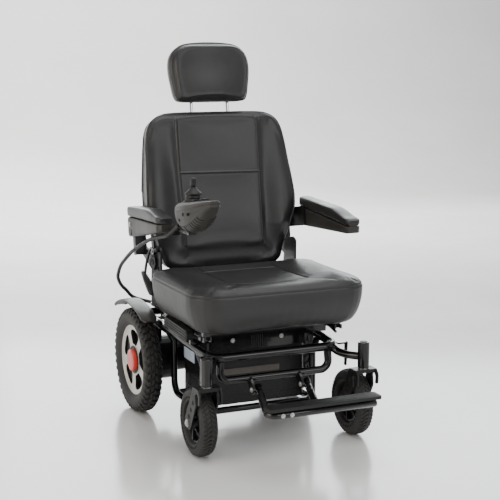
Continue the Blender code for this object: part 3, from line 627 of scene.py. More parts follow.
def refine(name, verts, quads, levels):
    """Subdivides the cushion; returns the mesh as a bmesh."""
    mesh = bpy.data.meshes.new(name)
    mesh.from_pydata([tuple(v) for v in verts], [], quads)
    shell = linked(name, mesh)
    step = shell.modifiers.new("fine", "SUBSURF")
    step.levels = levels
    step.render_levels = levels
    seen = shell.evaluated_get(bpy.context.evaluated_depsgraph_get()).to_mesh()
    bm = bmesh.new()
    bm.from_mesh(seen)
    bpy.data.objects.remove(shell)
    bpy.data.meshes.remove(mesh)
    bm.normal_update()
    return bm


def sew(bm, tree, depth, width):
    """Draws the surface in along the seams, with a soft lip on each side."""
    moves = []
    for vert in bm.verts:
        _, _, far = tree.find(vert.co)
        if far < width * 4:
            groove = math.exp(-((far / width) ** 2))
            lip = 0.22 * math.exp(-(((far - width * 2.1) / width) ** 2))
            moves.append((vert, vert.normal * depth * (lip - groove)))
    for vert, move in moves:
        vert.co += move


def smooth_step(value, low, high):
    t = min(1.0, max(0.0, (value - low) / (high - low)))
    return t * t * (3 - 2 * t)


def bell(value, middle, width):
    return math.exp(-(((value - middle) / width) ** 2))


def make_cushion(name, outline, counts, sides, rings, seams, welts, cap, to_chair, body, node):
    """One upholstered cushion: drawn, inflated between its seams, refined, sewn and placed.

    sides are the front and rear depths, welts the rings with a boxing seam, cap the most a point may move.
    """
    front, rear = sides
    verts, quads, loops = make_pillow(outline, counts, front, rear, rings)
    stitched = seam_points(seams, front)
    for ring in welts:
        loop = [Vector(verts[i]) for i in loops[ring]]
        for a, b in zip(loop, loop[1:] + loop[:1]):
            stitched += [tuple(a.lerp(b, k / 4)) for k in range(4)]
    held = set(i for ring in welts for i in loops[ring])
    held |= set(range(min(loops[-1]), len(verts)))
    near = tree_of(stitched)
    for i, v in enumerate(verts):
        if near.find(v)[2] < SEAM_REACH:
            held.add(i)
    verts = puff(name, verts, quads, sorted(held), cap)
    bm = refine(name, verts, quads, 2)
    sew(bm, near, SEAM_DEPTH, SEAM_DEPTH)
    for vert in bm.verts:
        vert.co = to_chair(vert.co)
    made = piece(bm, name, "leather", body, [node], angle=0)


def seat_place(p):
    """Seat coordinates (x, distance behind the front, height) in chair coordinates."""
    return Vector((p[0], SEAT_FRONT + p[1], p[2]))


def make_seat_cushion():
    corners = [(-0.259, -0.004), (0.263, -0.004), (0.263, 0.384), (-0.259, 0.384)]
    outline = Outline(rounded_polygon(corners, [0.085, 0.075, 0.035, 0.035]), (0.0, 0.185))

    def round_over(gap, width):
        share = min(1.0, max(0.0, 1 - gap / width))
        return 1 - math.sqrt(1 - 0.96 * share * share)

    def top(x, y, far):
        crown = 0.453 + 0.014 * smooth_step(abs(x), 0.105, 0.195) + 0.004 * bell(y, 0.075, 0.045)
        crown -= 0.004 * bell(x, 0, 0.09) * bell(y, 0.21, 0.1)
        rear = smooth_step(y, 0.3, 0.36)
        crown += 0.005 * smooth_step(y, 0.26, 0.35) * bell(x, 0, 0.18)
        fall = (0.015 - 0.006 * rear) * round_over((1 - far) * 0.25, 0.026)
        return crown - fall - (crown - 0.46) * smooth_step(far, 0.7, 1.0)

    def under(x, y, far):
        return 0.3345 + 0.009 * (1 - smooth_step(far, 0.9, 0.97))

    rings = [(0.0035, None), (0.0004, 0.4415), (0.0, 0.437), (0.0, 0.424), (0.0012, 0.408)]
    rings += [(0.004, 0.392), (0.0085, 0.376), (0.0145, 0.361), (0.0215, 0.349), (0.03, 0.34)]
    rings += [(0.04, 0.3352), (0.052, None)]
    seams = [
        [(-0.118, 0.362), (-0.118, 0.3), (-0.119, 0.18), (-0.121, 0.105)],
        [(0.112, 0.362), (0.112, 0.3), (0.114, 0.18), (0.118, 0.105)],
        [(-0.118, 0.304), (0.112, 0.304)],
        [(-0.121, 0.105), (-0.06, 0.088), (0.0, 0.083), (0.06, 0.088), (0.118, 0.105)],
    ]
    make_cushion("seat_upholstery", outline, (76, 58), (top, under), rings, seams, [1], 0.011, seat_place,
                 "seat", "seat_cushion")


def make_seat_pan():
    bm = bmesh.new()
    outline = [(-0.194, -0.462), (0.194, -0.462), (0.194, -0.16), (0.2225, -0.16), (0.2225, -0.04)]
    outline += [(-0.2225, -0.04), (-0.2225, -0.16), (-0.194, -0.16)]
    add_prism(bm, fillet(outline, 0.006, 4, closed=True), "xy", 0.334, 0.342, 0.0008)
    for side in (RIGHT, LEFT):
        add_box(bm, (side * 0.189, side * 0.211), (-0.44, -0.155), (0.3206, 0.335), 0.0008)
    piece(bm, "pan_plate", "frame_black", "seat", hides=["seat_pan"], angle=40)


def back_place(p):
    """Back coordinates (x, height, depth) in chair coordinates."""
    return Vector(leaning((p[0], p[2], p[1])))


def make_back_cushion():
    half = [(0.06, -0.009), (0.15, -0.008), (0.186, 0.01), (0.198, 0.052), (0.217, 0.104)]
    half += [(0.233, 0.15), (0.237, 0.195), (0.235, 0.25), (0.2295, 0.31), (0.2245, 0.365)]
    half += [(0.216, 0.41), (0.199, 0.438), (0.164, 0.455), (0.11, 0.459), (0.04, 0.459)]
    points = [(x + 0.007 * bell(w, 0.19, 0.08), w) for x, w in half]
    points += [(-x, w) for x, w in half[::-1]]
    outline = Outline(smooth_closed(points, 6), (0.0, 0.215))

    def front(x, w, far):
        wing = smooth_step(w, 0.03, 0.12) * (1 - 0.85 * smooth_step(w, 0.2, 0.44))
        bolster = -0.019 * smooth_step(abs(x), 0.125, 0.2) * wing
        lumbar = -0.005 * bell(w, 0.13, 0.1) * bell(x, 0, 0.12)
        share = min(1.0, max(0.0, (far - 0.88) / 0.12))
        return 0.012 + bolster + lumbar + 0.016 * (1 - math.sqrt(1 - 0.97 * share * share))

    def edge(shift):
        return lambda x, w, far: min(0.06, front(x, w, 1.0) + shift)

    def rear(x, w, far):
        return 0.084

    rings = [(0.004, None), (0.0012, edge(0.003)), (0.0, edge(0.007)), (0.0014, edge(0.016))]
    rings += [(0.002, 0.05), (0.0044, 0.064), (0.0066, 0.072), (0.0098, 0.078), (0.015, 0.0825)]
    rings += [(0.022, None)]
    seams = [
        [(-0.13, 0.452), (-0.131, 0.36), (-0.131, 0.28), (-0.128, 0.18), (-0.126, 0.06)],
        [(0.13, 0.452), (0.129, 0.36), (0.128, 0.28), (0.126, 0.18), (0.125, 0.06)],
        [(-0.131, 0.279), (0.128, 0.275)],
    ]
    make_cushion("back_upholstery", outline, (76, 72), (front, rear), rings, seams, [2, 6], 0.01, back_place,
                 "backrest", "back_cushion")


def make_headrest_cushion():
    half = [(0.04, 0.4925), (0.098, 0.494), (0.1145, 0.506), (0.123, 0.545), (0.1285, 0.588), (0.1245, 0.626)]
    half += [(0.108, 0.651), (0.08, 0.6655), (0.03, 0.6715)]
    points = half + [(-x, w) for x, w in half[::-1]]
    outline = Outline(smooth_closed(points, 6), (0.0, 0.583))

    def dome(x, w, rise):
        return rise * (x / 0.125) ** 2 + 0.012 * ((w - 0.583) / 0.085) ** 2

    def front(x, w, far):
        return -0.0035 + dome(x, w, 0.02)

    def rear(x, w, far):
        return 0.1045 - dome(x, w, 0.016)

    rings = [(0.012, None), (0.005, 0.034), (0.0015, 0.04), (0.0, 0.05), (0.0005, 0.064)]
    rings += [(0.004, 0.075), (0.01, 0.083), (0.02, None)]
    make_cushion("headrest_upholstery", outline, (40, 28), (front, rear), rings, [], [2], 0.007, back_place,
                 "headrest", "headrest_cushion")


# Wheels


def add_lug(bm, centre, x, angles, radii, lean=0.0):
    """A tread block between two x positions and two angles; lean skews its far end round the wheel.

    radii are its foot's, its near edge's and its far edge's.
    """
    rings = []
    for share, radius in ((0, radii[0]), (0.75, radii[0] + (radii[1] - radii[0]) * 0.75), (1, radii[1])):
        shrink = 0.0 if share < 1 else 0.08
        ring = []
        for u, v in ((0, 0), (1, 0), (1, 1), (0, 1)):
            u = shrink + u * (1 - 2 * shrink)
            v = shrink + v * (1 - 2 * shrink)
            a = angles[0] + (angles[1] - angles[0]) * v + lean * u
            r = radius + (radii[2] - radii[1]) * u
            across = centre[0] + x[0] + (x[1] - x[0]) * u
            ring.append((across, centre[1] + r * math.cos(a), centre[2] + r * math.sin(a)))
        rings.append(ring)
    add_rings(bm, rings)


def add_tread(bm, centre, way, start, span, rows):
    """One block of each row, on one side: each row has x positions, shares of the span, radii and a lean."""
    for x, shares, radii, lean in rows:
        angles = (start + span * shares[0], start + span * shares[1])
        add_lug(bm, centre, (way * x[0], way * x[1]), angles, radii, span * lean)


def make_drive_wheel(side):
    name = NAMES[side]
    body = f"drive_wheel_{name}"
    centre = (side * WHEEL_X, 0, WHEEL_Z)
    bm = bmesh.new()
    half = [(0.0165, 0.1066), (0.0178, 0.111), (0.023, 0.116), (0.0235, 0.1175), (0.0265, 0.125)]
    half += [(0.0275, 0.133), (0.0268, 0.1405), (0.0232, 0.147), (0.016, 0.151), (0.007, 0.1524)]
    half.append((0.0, 0.1527))
    profile = [(-a, r) for a, r in half] + half[-2::-1]
    add_lathe(bm, profile, centre, "x", 96)
    count = 42
    span = 2 * math.pi / count
    rows = [
        ((0.0015, 0.0105), (0.0, 0.62), (0.1515, 0.1589, 0.1586), 0.3),
        ((0.0125, 0.0205), (0.25, 0.85), (0.148, 0.1582, 0.156), 0.12),
        ((0.0215, 0.0272), (0.05, 0.55), (0.14, 0.1545, 0.1478), 0.0),
    ]
    for k in range(count):
        for way in (RIGHT, LEFT):
            offset = 0.5 * span if way == LEFT else 0
            add_tread(bm, centre, way, span * k + offset, span, rows)
    piece(bm, f"tyre_{name}", "tyre", body, [f"drive_tyre_{name}"], angle=30)
    make_drive_rim(side, centre, body)
    bm = bmesh.new()
    ring = [(0.011, 0.0425), (0.014, 0.0425), (0.015, 0.041), (0.015, 0.035), (0.011, 0.035)]
    add_lathe(bm, flipped(side, ring), centre, "x", 48, 1)
    dome = [(0.0113, 0.0335), (0.0215, 0.0335), (0.024, 0.0322), (0.0253, 0.029), (0.0258, 0.02)]
    dome.append((0.026, 0.001))
    add_spindle(bm, flipped(side, dome), centre, "x", 56)
    piece(bm, f"cap_{name}", ["red_cap", "rubber"], body, [f"hub_cap_{name}"], angle=30)


def bean(middle, centre):
    """Outline of one rim window, wide at the rim and narrow at the hub."""
    outer = [(0.0925, middle + math.radians(s)) for s in (-27, -14, 0, 14, 27)]
    inner = [(0.0485, middle + math.radians(s)) for s in (19, 0, -19)]
    corners = [(centre[1] + r * math.cos(a), centre[2] + r * math.sin(a)) for r, a in outer + inner]
    return fillet(corners, [0.012, 0, 0, 0, 0.012, 0.012, 0, 0.012], 5, closed=True)


def make_drive_rim(side, centre, body):
    name = NAMES[side]
    bm = bmesh.new()
    face = [(-0.015, 0.099), (-0.0165, 0.101), (-0.0165, 0.1064), (0.016, 0.1064), (0.017, 0.105)]
    face += [(0.017, 0.1015), (0.0135, 0.099), (0.012, 0.0945), (0.0118, 0.06), (0.0128, 0.043)]
    face += [(0.011, 0.04), (0.011, 0.011), (-0.002, 0.011), (-0.002, 0.04), (0.004, 0.06)]
    face += [(0.004, 0.093), (0.002, 0.098)]
    add_lathe(bm, flipped(side, face), centre, "x", 96)
    bmesh.ops.recalc_face_normals(bm, faces=bm.faces)
    blank = object_of("rim_blank", bm)
    helpers = [blank]
    for i in range(5):
        window = bmesh.new()
        outline = bean(2 * math.pi * i / 5 + math.radians(95), centre)
        add_prism(window, outline, "yz", centre[0] - 0.03, centre[0] + 0.03)
        cutter = object_of("window", window)
        helpers.append(cutter)
        step = blank.modifiers.new("window", "BOOLEAN")
        step.operation = "DIFFERENCE"
        step.solver = "EXACT"
        step.object = cutter
    edge = blank.modifiers.new("edge", "BEVEL")
    edge.width = 0.0012
    edge.segments = 2
    edge.limit_method = "ANGLE"
    edge.angle_limit = math.radians(50)
    seen = blank.evaluated_get(bpy.context.evaluated_depsgraph_get()).to_mesh()
    cut = bmesh.new()
    cut.from_mesh(seen)
    for each in helpers:
        bpy.data.objects.remove(each)
    darken_windows(cut, side, centre)
    valve = [(0, 0.0028), (0.018, 0.0026), (0.02, 0.0036), (0.026, 0.0036), (0.0265, 0.002)]
    add_spindle(cut, valve, (centre[0] + side * 0.004, 0.0, centre[2] + 0.094), "z", 12)
    # Painted shade: a near-black disc closes the rim's windows from behind, for the wheel's shaded inside.
    shade_disc = bmesh.new()
    shell = [(-0.008, 0.012), (-0.008, 0.097), (-0.004, 0.0978), (-0.0035, 0.012)]
    add_lathe(shade_disc, flipped(side, shell), centre, "x", 64)
    piece(shade_disc, f"rim_shade_disc_{name}", "gap", body, angle=30)
    piece(cut, f"rim_{name}", ["rim_silver", "gap"], body, [f"drive_rim_{name}"], recalc=False)


def darken_windows(bm, side, centre):
    """Gives the walls of the rim's windows the dark finish."""
    for face in bm.faces:
        middle = face.calc_center_median()
        far = math.hypot(middle.y - centre[1], middle.z - centre[2])
        inward = (middle.x - centre[0]) * side < 0.0055
        if 0.046 < far < 0.0955 and (abs(face.normal.x) < 0.5 or inward):
            face.material_index = 1


def make_caster_wheel(side):
    name = NAMES[side]
    body = f"caster_wheel_{name}"
    centre = (side * CASTER_X, CASTER_Y, CASTER_Z)
    bm = bmesh.new()
    half = [(0.0135, 0.0575), (0.0205, 0.06), (0.0235, 0.066), (0.0247, 0.074), (0.0236, 0.081)]
    half += [(0.0195, 0.087), (0.011, 0.0906), (0.0, 0.0915)]
    profile = [(-a, r) for a, r in half] + half[-2::-1]
    add_lathe(bm, profile, centre, "x", 80)
    count = 46
    span = 2 * math.pi / count
    rows = [
        ((0.0006, 0.0115), (0.0, 0.55), (0.0895, 0.0949, 0.0936), 0.9),
        ((0.0125, 0.0195), (0.9, 1.45), (0.085, 0.0932, 0.0898), 0.4),
    ]
    holes = 38
    ring = 0.0695
    for way in (RIGHT, LEFT):
        for k in range(count):
            add_tread(bm, centre, way, span * k, span, rows)
        # Each sidewall hole is a near-black disc: painted shade in the hole.
        for k in range(holes):
            a = 2 * math.pi * k / holes
            at = (centre[0] + way * 0.0228, centre[1] + ring * math.cos(a), centre[2] + ring * math.sin(a))
            add_spindle(bm, [(0, 0.0038), (way * 0.0019, 0.0036), (way * 0.0021, 0.0028)], at, "x", 10, 1)
    piece(bm, f"caster_tread_{name}", ["tyre", "gap"], body, [f"caster_tyre_{name}"], angle=30)
    bm = bmesh.new()
    for way in (RIGHT, LEFT):
        dish = [(0.0, 0.0068), (0.0275, 0.0068), (0.0275, 0.016), (0.0255, 0.0175), (0.009, 0.023)]
        dish += [(0.007, 0.047), (0.013, 0.05), (0.0142, 0.053), (0.0142, 0.0568), (0.0, 0.0568)]
        add_lathe(bm, flipped(way, dish), centre, "x", 64)
        for k in range(6):
            a = 2 * math.pi * (k + 0.5) / 6
            rib = Vector((0, math.cos(a), math.sin(a)))
            across = Vector((0, -math.sin(a), math.cos(a)))
            base = Vector(centre) + Vector((way * 0.006, 0, 0))
            ends = [base + rib * 0.016, base + rib * 0.0505]
            rings = []
            for end, wide in zip(ends, (0.0045, 0.003)):
                top = Vector((way * 0.012, 0, 0))
                rings.append([end - across * wide, end + across * wide, end + across * wide * 0.6 + top,
                              end - across * wide * 0.6 + top])
            add_rings(bm, rings)
    piece(bm, f"caster_hub_{name}", "caster_rim", body, [f"caster_rim_{name}"], angle=30)


# Tubes and metalwork


def loop_z(y):
    """Height of the upper loop, which rises towards the rear."""
    return 0.26 + 0.027 * (y + 0.45) / 0.525


def make_tubes():
    half = [(0.19, -0.45), (0.204, -0.1), (0.203, 0.075)]
    corners = [(-half[0][0], half[0][1])] + half + [(-x, y) for x, y in half[:0:-1]]
    path = fillet([(x, y, loop_z(y)) for x, y in corners], [0.04, 0.04, 0.02, 0.04, 0.04, 0.02], 10, True)
    bm = bmesh.new()
    add_tube(bm, path, 0.0125, 24, closed=True)
    piece(bm, "loop_tube", "frame_black", "chassis", hides=["upper_frame_loop"], angle=60)
    make_bumper()
    make_base()
    for side in (RIGHT, LEFT):
        make_caster_arm(side)
        make_caster_fork(side)


def make_bumper():
    bm = bmesh.new()
    end = (0.164, -0.4475, loop_z(-0.4475) - 0.01)
    path = [(-end[0], *end[1:]), (-0.168, BUMPER_Y, BUMPER_Z), (0.168, BUMPER_Y, BUMPER_Z), end]
    add_tube(bm, fillet(path, 0.026, 10), 0.011, 24)
    start, stop = Vector((BUMPER_Y, BUMPER_Z)), Vector(FOOT_PIN)
    reach = (stop - start).normalized() * 0.013
    across = Vector((-reach.y, reach.x))
    outline = [start - across, stop - across + reach, stop + across + reach, start + across]
    outline = fillet(outline, 0.009, 5, True)
    for x in (-0.0791, 0.0699):
        add_prism(bm, outline, "yz", x - 0.003, x + 0.003, 0.0006)
        add_bolt(bm, (x - 0.0031, *FOOT_PIN), "x", -1, 0.0062, 0.0052, 1)
    piece(bm, "bumper_tube", ["frame_black", "steel"], "chassis", hides=["front_bumper_tube"], angle=40)


def make_base():
    bm = bmesh.new()
    front, rear = -0.338, -0.105
    for side in (RIGHT, LEFT):
        x = side * 0.172
        path = [(side * 0.187, front, loop_z(front) - 0.008), (x, front, 0.215), (x, front, BASE_Z)]
        path += [(x, rear, BASE_Z), (x, rear, 0.235), (side * 0.193, rear, loop_z(rear) - 0.008)]
        add_tube(bm, fillet(path, [0, 0.02, 0.02, 0.04, 0.02, 0], 8), 0.01, 20)
    for y in (-0.341, -0.117):
        add_tube(bm, [(-0.17, y, BASE_Z), (0.17, y, BASE_Z)], 0.0095, 20)
    piece(bm, "base_tubes", "frame_black", "chassis", hides=["base_frame"], angle=60)


def make_caster_arm(side):
    name = NAMES[side]
    bm = bmesh.new()
    path = [(0.18, -0.441, 0.257), (0.191, -0.456, 0.246), (0.203, -0.48, 0.2415)]
    path += [(0.22, -0.506, 0.241), (CASTER_X, -0.524, 0.241)]
    add_tube(bm, smooth_route([(side * x, y, z) for x, y, z in path], 8), 0.0115, 24)
    centre = (side * CASTER_X, SWIVEL_Y, 0)
    barrel = [(0.2112, 0.0115), (0.2112, 0.0155), (0.2122, 0.0165), (0.2825, 0.0165), (0.284, 0.0152)]
    barrel += [(0.284, 0.006), (0.276, 0.006), (0.276, 0.0115)]
    add_lathe(bm, barrel, centre, "z", 40)
    bar = [(-0.456, 0.2), (-0.446, 0.2), (-0.446, 0.27), (-0.462, 0.27)]
    add_prism(bm, fillet(bar, 0.002, 3, closed=True), "yz", *span_of(side, 0.219, 0.2225), 0.0006)
    add_box(bm, (side * 0.192, side * 0.2225), (-0.46, -0.447), (0.265, 0.27), 0.0008)
    cap = [(0.2765, 0.0125), (0.2838, 0.0125), (0.285, 0.0112), (0.2854, 0.008), (0.2856, 0.001)]
    add_spindle(bm, cap, centre, "z", 32, 1)
    piece(bm, f"caster_arm_tube_{name}", ["frame_black", "rubber"], "chassis", hides=[f"caster_arm_{name}"],
          angle=40)


def make_caster_fork(side):
    name = NAMES[side]
    x = side * CASTER_X
    leg = [(-0.508, 0.2075), (-0.546, 0.2075), (-0.558, 0.192), (-0.556, 0.166), (-0.544, 0.166)]
    leg += [(-0.548, 0.186), (-0.538, 0.197), (-0.525, 0.188), (-0.53, 0.158), (-0.489, 0.082)]
    leg += [(-0.456, 0.079), (-0.447, 0.104), (-0.486, 0.165)]
    rounding = [0.004, 0.008, 0.014, 0.004, 0.003, 0.008, 0.006, 0.008, 0.02, 0.012, 0.012, 0.012, 0.03]
    outline = fillet(leg, rounding, 5, closed=True)
    bm = bmesh.new()
    for way in (RIGHT, LEFT):
        low, high = span_of(way, 0.0285, 0.0335)
        add_prism(bm, outline, "yz", x + low, x + high, 0.0008)
        # The leg's three holes are near-black discs on both faces: painted shade in the holes.
        for y, z in ((-0.51, 0.163), (-0.495, 0.14), (-0.48, 0.117)):
            add_spindle(bm, [(0, 0.0066), (way * 0.0004, 0.0064)], (x + way * 0.0334, y, z), "x", 20, 1)
            add_spindle(bm, [(0, 0.0066), (-way * 0.0004, 0.0064)], (x + way * 0.0286, y, z), "x", 20, 1)
        add_bolt(bm, (x + way * 0.0334, CASTER_Y, CASTER_Z), "x", way, 0.008, 0.0055, 2)
    add_box(bm, (x - 0.0312, x + 0.0312), (-0.5462, -0.5088), (0.198, 0.2078), 0.0022)
    add_spindle(bm, [(0.2075, 0.015), (0.2098, 0.015), (0.2105, 0.014)], (x, SWIVEL_Y, 0), "z", 32, 2)
    add_spindle(bm, [(0.208, 0.01), (0.27, 0.01)], (x, SWIVEL_Y, 0), "z", 24, 2)
    add_spindle(bm, [(-0.0283, 0.006), (0.0283, 0.006)], (x, CASTER_Y, CASTER_Z), "x", 20, 2)
    piece(bm, f"fork_{name}", ["motor_black", "gap", "steel"], f"caster_swivel_{name}",
          [f"caster_fork_{name}"], angle=35)


def make_fender(side):
    name = NAMES[side]
    line = [(-0.124, 0.302), (-0.07, 0.323), (0.0, 0.3345), (0.06, 0.335), (0.115, 0.321)]
    line.append((0.164, 0.298))
    curve = smooth_route([(0, y, z) for y, z in line], 8)
    rings = []
    for i, point in enumerate(curve):
        along = (curve[min(i + 1, len(curve) - 1)] - curve[max(i - 1, 0)]).normalized()
        normal = Vector((0, -along.z, along.y))
        ends = min(i, len(curve) - 1 - i)
        tuck = 0.01 * max(0.0, 1 - ends / 3.0) ** 2
        ring = []
        section = [(0.2256 + tuck, -0.003), (0.2262 + tuck, 0.0006), (0.23 + tuck, 0.0014)]
        section += [(0.25, 0.0022), (0.272 - tuck, 0.0014), (0.2758 - tuck, 0.0004)]
        section += [(0.2762 - tuck, -0.004), (0.2745 - tuck, -0.004), (0.2738 - tuck, -0.0012)]
        section += [(0.25, -0.0006), (0.228 + tuck, -0.0012), (0.2272 + tuck, -0.003)]
        for x, lift in section:
            p = point + normal * lift
            ring.append((side * x, p.y, p.z))
        rings.append(ring)
    bm = bmesh.new()
    add_rings(bm, rings)
    add_box(bm, (side * 0.2265, side * 0.2295), (-0.098, -0.078), (0.2925, 0.317), 0.0005)
    add_box(bm, (side * 0.204, side * 0.229), (-0.098, -0.078), (0.2922, 0.2958), 0.0005)
    add_bolt(bm, (side * 0.214, -0.088, 0.2958), "z", 1, 0.0042, 0.0035, 1)
    piece(bm, f"mudguard_{name}", ["moulded_plastic", "steel"], "chassis", hides=[f"fender_{name}"], angle=50)


def make_footrest():
    bm = bmesh.new()
    path = [(-0.062, -0.469, 0.178), (-0.0645, -0.486, 0.163), (-0.134, -0.694, 0.16), (0.182, -0.694, 0.16)]
    add_tube(bm, fillet(path, [0, 0.015, 0.022, 0], 10), 0.0105, 24)
    path = [(0.087, -0.469, 0.178), (0.0845, -0.486, 0.163), (0.012, -0.694, 0.161)]
    add_tube(bm, fillet(path, 0.015, 10), 0.0099, 24)
    for x in (-0.063, 0.086):
        add_spindle(bm, [(-0.015, 0.0042), (0.0, 0.0042)], (x, *FOOT_PIN), "x", 16, 1)
    for x in (-0.096, -0.07):
        add_bolt(bm, (x, -0.7044, 0.1602), "y", -1, 0.0045, 0.0022, 1)
    piece(bm, "footrest_tubes", ["frame_black", "steel"], "footrest", hides=["footrest_frame"], angle=50)
    bm = bmesh.new()
    outline = fillet([(-0.14, -0.716), (0.19, -0.716), (0.19, -0.672), (-0.14, -0.672)], 0.008, 5, True)
    add_prism(bm, outline, "xy", 0.1749, 0.1836, 0.0016)
    for k in range(10):
        y = -0.7115 + 0.0039 * k
        add_box(bm, (-0.134, 0.184), (y, y + 0.0021), (0.183, 0.1848), 0.0004)
    for x in (-0.11, 0.04, 0.165):
        add_box(bm, (x - 0.008, x + 0.008), (-0.699, -0.689), (0.1709, 0.1755), 0.0006)
    piece(bm, "footrest_tread", "rubber", "footrest", ["footplate"], angle=40)


def make_recline_handle():
    """Bent rod from the recliner's cross pin with a flat rounded grip on its end."""
    x = -0.2345
    bm = bmesh.new()
    path = [(x, *LEVER_PIN), (x, -0.085, 0.512), (x, -0.05, 0.47), (x, -0.03, 0.426)]
    add_tube(bm, smooth_route(path, 6), 0.004, 14)
    hub = [(-0.239, 0.0048), (-0.239, 0.01), (-0.23, 0.01), (-0.23, 0.0048)]
    add_lathe(bm, hub, (0, *LEVER_PIN), "x", 28)
    start, stop = Vector((x, -0.02, 0.432)), Vector((x, -0.112, 0.38))
    along = (stop - start).normalized()
    across = Vector((0, -along.z, along.y))
    stations = [(0, 0.0045, 0.004), (0.03, 0.0065, 0.006), (0.35, 0.0095, 0.0085), (0.75, 0.012, 0.0098)]
    stations += [(0.93, 0.0112, 0.009), (0.985, 0.008, 0.0062), (1, 0.0045, 0.0035)]
    rings = []
    for share, wide, thick in stations:
        middle = start.lerp(stop, share) - Vector((0.003, 0, 0))
        ring = []
        for k in range(24):
            a = 2 * math.pi * k / 24
            c, d = math.cos(a), math.sin(a)
            sideways = math.copysign(abs(c) ** 0.7, c) * wide
            rise = math.copysign(abs(d) ** 0.7, d) * thick
            ring.append(middle + Vector((sideways, 0, 0)) + across * rise)
        rings.append(ring)
    add_rings(bm, rings, False, 1)
    hides = ["recline_lever"]
    piece(bm, "recline_handle", ["frame_black", "rubber"], "recliner_lever", hides=hides, angle=50)


def make_chassis_details():
    """Bolts, grille and rail stops on the chassis."""
    bm = bmesh.new()
    for x, z in ((-0.084, 0.278), (0.068, 0.278)):
        add_bolt(bm, (x, -0.3462, z), "y", -1, 0.005, 0.0042)
    for side in (RIGHT, LEFT):
        add_bolt(bm, (side * 0.2, -0.412, 0.3202), "z", 1, 0.0052, 0.004)
        add_bolt(bm, (side * 0.2, -0.15, 0.3202), "z", 1, 0.0045, 0.0035)
    piece(bm, "chassis_bolts", "steel", "chassis")
    bm = bmesh.new()
    for k in range(6):
        x = -0.027 + 0.0066 * k
        add_box(bm, (x, x + 0.003), (-0.3475, -0.3455), (0.253, 0.289), 0.0005)
    piece(bm, "crossbar_grille", "rubber", "chassis")
    bm = bmesh.new()
    for side in (RIGHT, LEFT):
        for x in (0.1905, 0.2095):
            across = (side * (x - 0.0022), side * (x + 0.0022))
            add_box(bm, across, (-0.428, -0.445), (0.3065, 0.3195), 0.0006)
    piece(bm, "rail_end_stops", "frame_black", "chassis")


def make_case_details():
    """The case's strip, blank label and ribs."""
    bm = bmesh.new()
    outline = fillet([(-0.107, 0.1745), (0.068, 0.1745), (0.068, 0.1925), (-0.107, 0.1925)], 0.002, 3, True)
    add_prism(bm, outline, "xz", -0.3325, -0.3302, 0.0006)
    piece(bm, "case_strip", "plate", "chassis")
    bm = bmesh.new()
    outline = fillet([(-0.218, 0.187), (-0.134, 0.187), (-0.134, 0.232), (-0.218, 0.232)], 0.003, 3, True)
    add_prism(bm, outline, "yz", -0.1512, -0.1503, 0.0003)
    piece(bm, "case_label", "label", "chassis")
    bm = bmesh.new()
    for z in (0.11, 0.246):
        outline = [(-0.1508, -0.3308), (0.1508, -0.3308), (0.1508, -0.1262), (-0.1508, -0.1262)]
        add_prism(bm, fillet(outline, 0.013, 6, closed=True), "xy", z, z + 0.0022, 0.0005)
    piece(bm, "case_ribs", "case_plastic", "chassis")


def make_slide_covers():
    for side in (RIGHT, LEFT):
        bm = bmesh.new()
        outline = fillet([(-0.372, 0.296), (-0.19, 0.303), (-0.19, 0.3315), (-0.372, 0.3245)], 0.009, 5, True)
        add_prism(bm, outline, "yz", *span_of(side, 0.2135, 0.233), 0.004, 0, 3)
        for k in range(3):
            z = 0.3045 + 0.0075 * k
            add_tube(bm, [(side * 0.233, -0.366, z - 0.0025), (side * 0.233, -0.196, z + 0.004)], 0.0022, 10)
        piece(bm, f"slide_cover_{NAMES[side]}", "rubber", "chassis", angle=40)


# Arms and controller


def section_ring(x_low, x_high, z_low, z_high, y, power, sides=28):
    """A rounded section in the xz plane, rounder for a lower power."""
    cx, cz = (x_low + x_high) / 2, (z_low + z_high) / 2
    hx, hz = (x_high - x_low) / 2, (z_high - z_low) / 2
    ring = []
    for k in range(sides):
        a = 2 * math.pi * (k + 0.5) / sides
        c, s = math.cos(a), math.sin(a)
        across = cx + hx * math.copysign(abs(c) ** (2 / power), c)
        ring.append((across, y, cz + hz * math.copysign(abs(s) ** (2 / power), s)))
    return ring


def arm_station(t):
    """Inner and outer half widths and bottom, parting and top heights, t of the way along an armrest."""
    drop = min(1.0, max(0.0, (t - 0.62) / 0.38))
    outer = 0.299 + 0.005 * min(1.0, max(0.0, (t - 0.25) / 0.45))
    top = 0.642 - 0.016 * t - 0.018 * (3 * drop**2 - 2 * drop**3)
    return 0.258 - 0.0015 * t, outer, 0.551 + 0.015 * t, 0.612 - 0.024 * t, top


def tip(points, angle):
    """Turns rings of points up about the armrest pivot."""
    c, s = math.cos(angle), math.sin(angle)
    out = []
    for x, y, z in points:
        dy, dz = y - ARM_PIN[0], z - ARM_PIN[1]
        out.append((x, ARM_PIN[0] + dy * c + dz * s, ARM_PIN[1] + dz * c - dy * s))
    return out


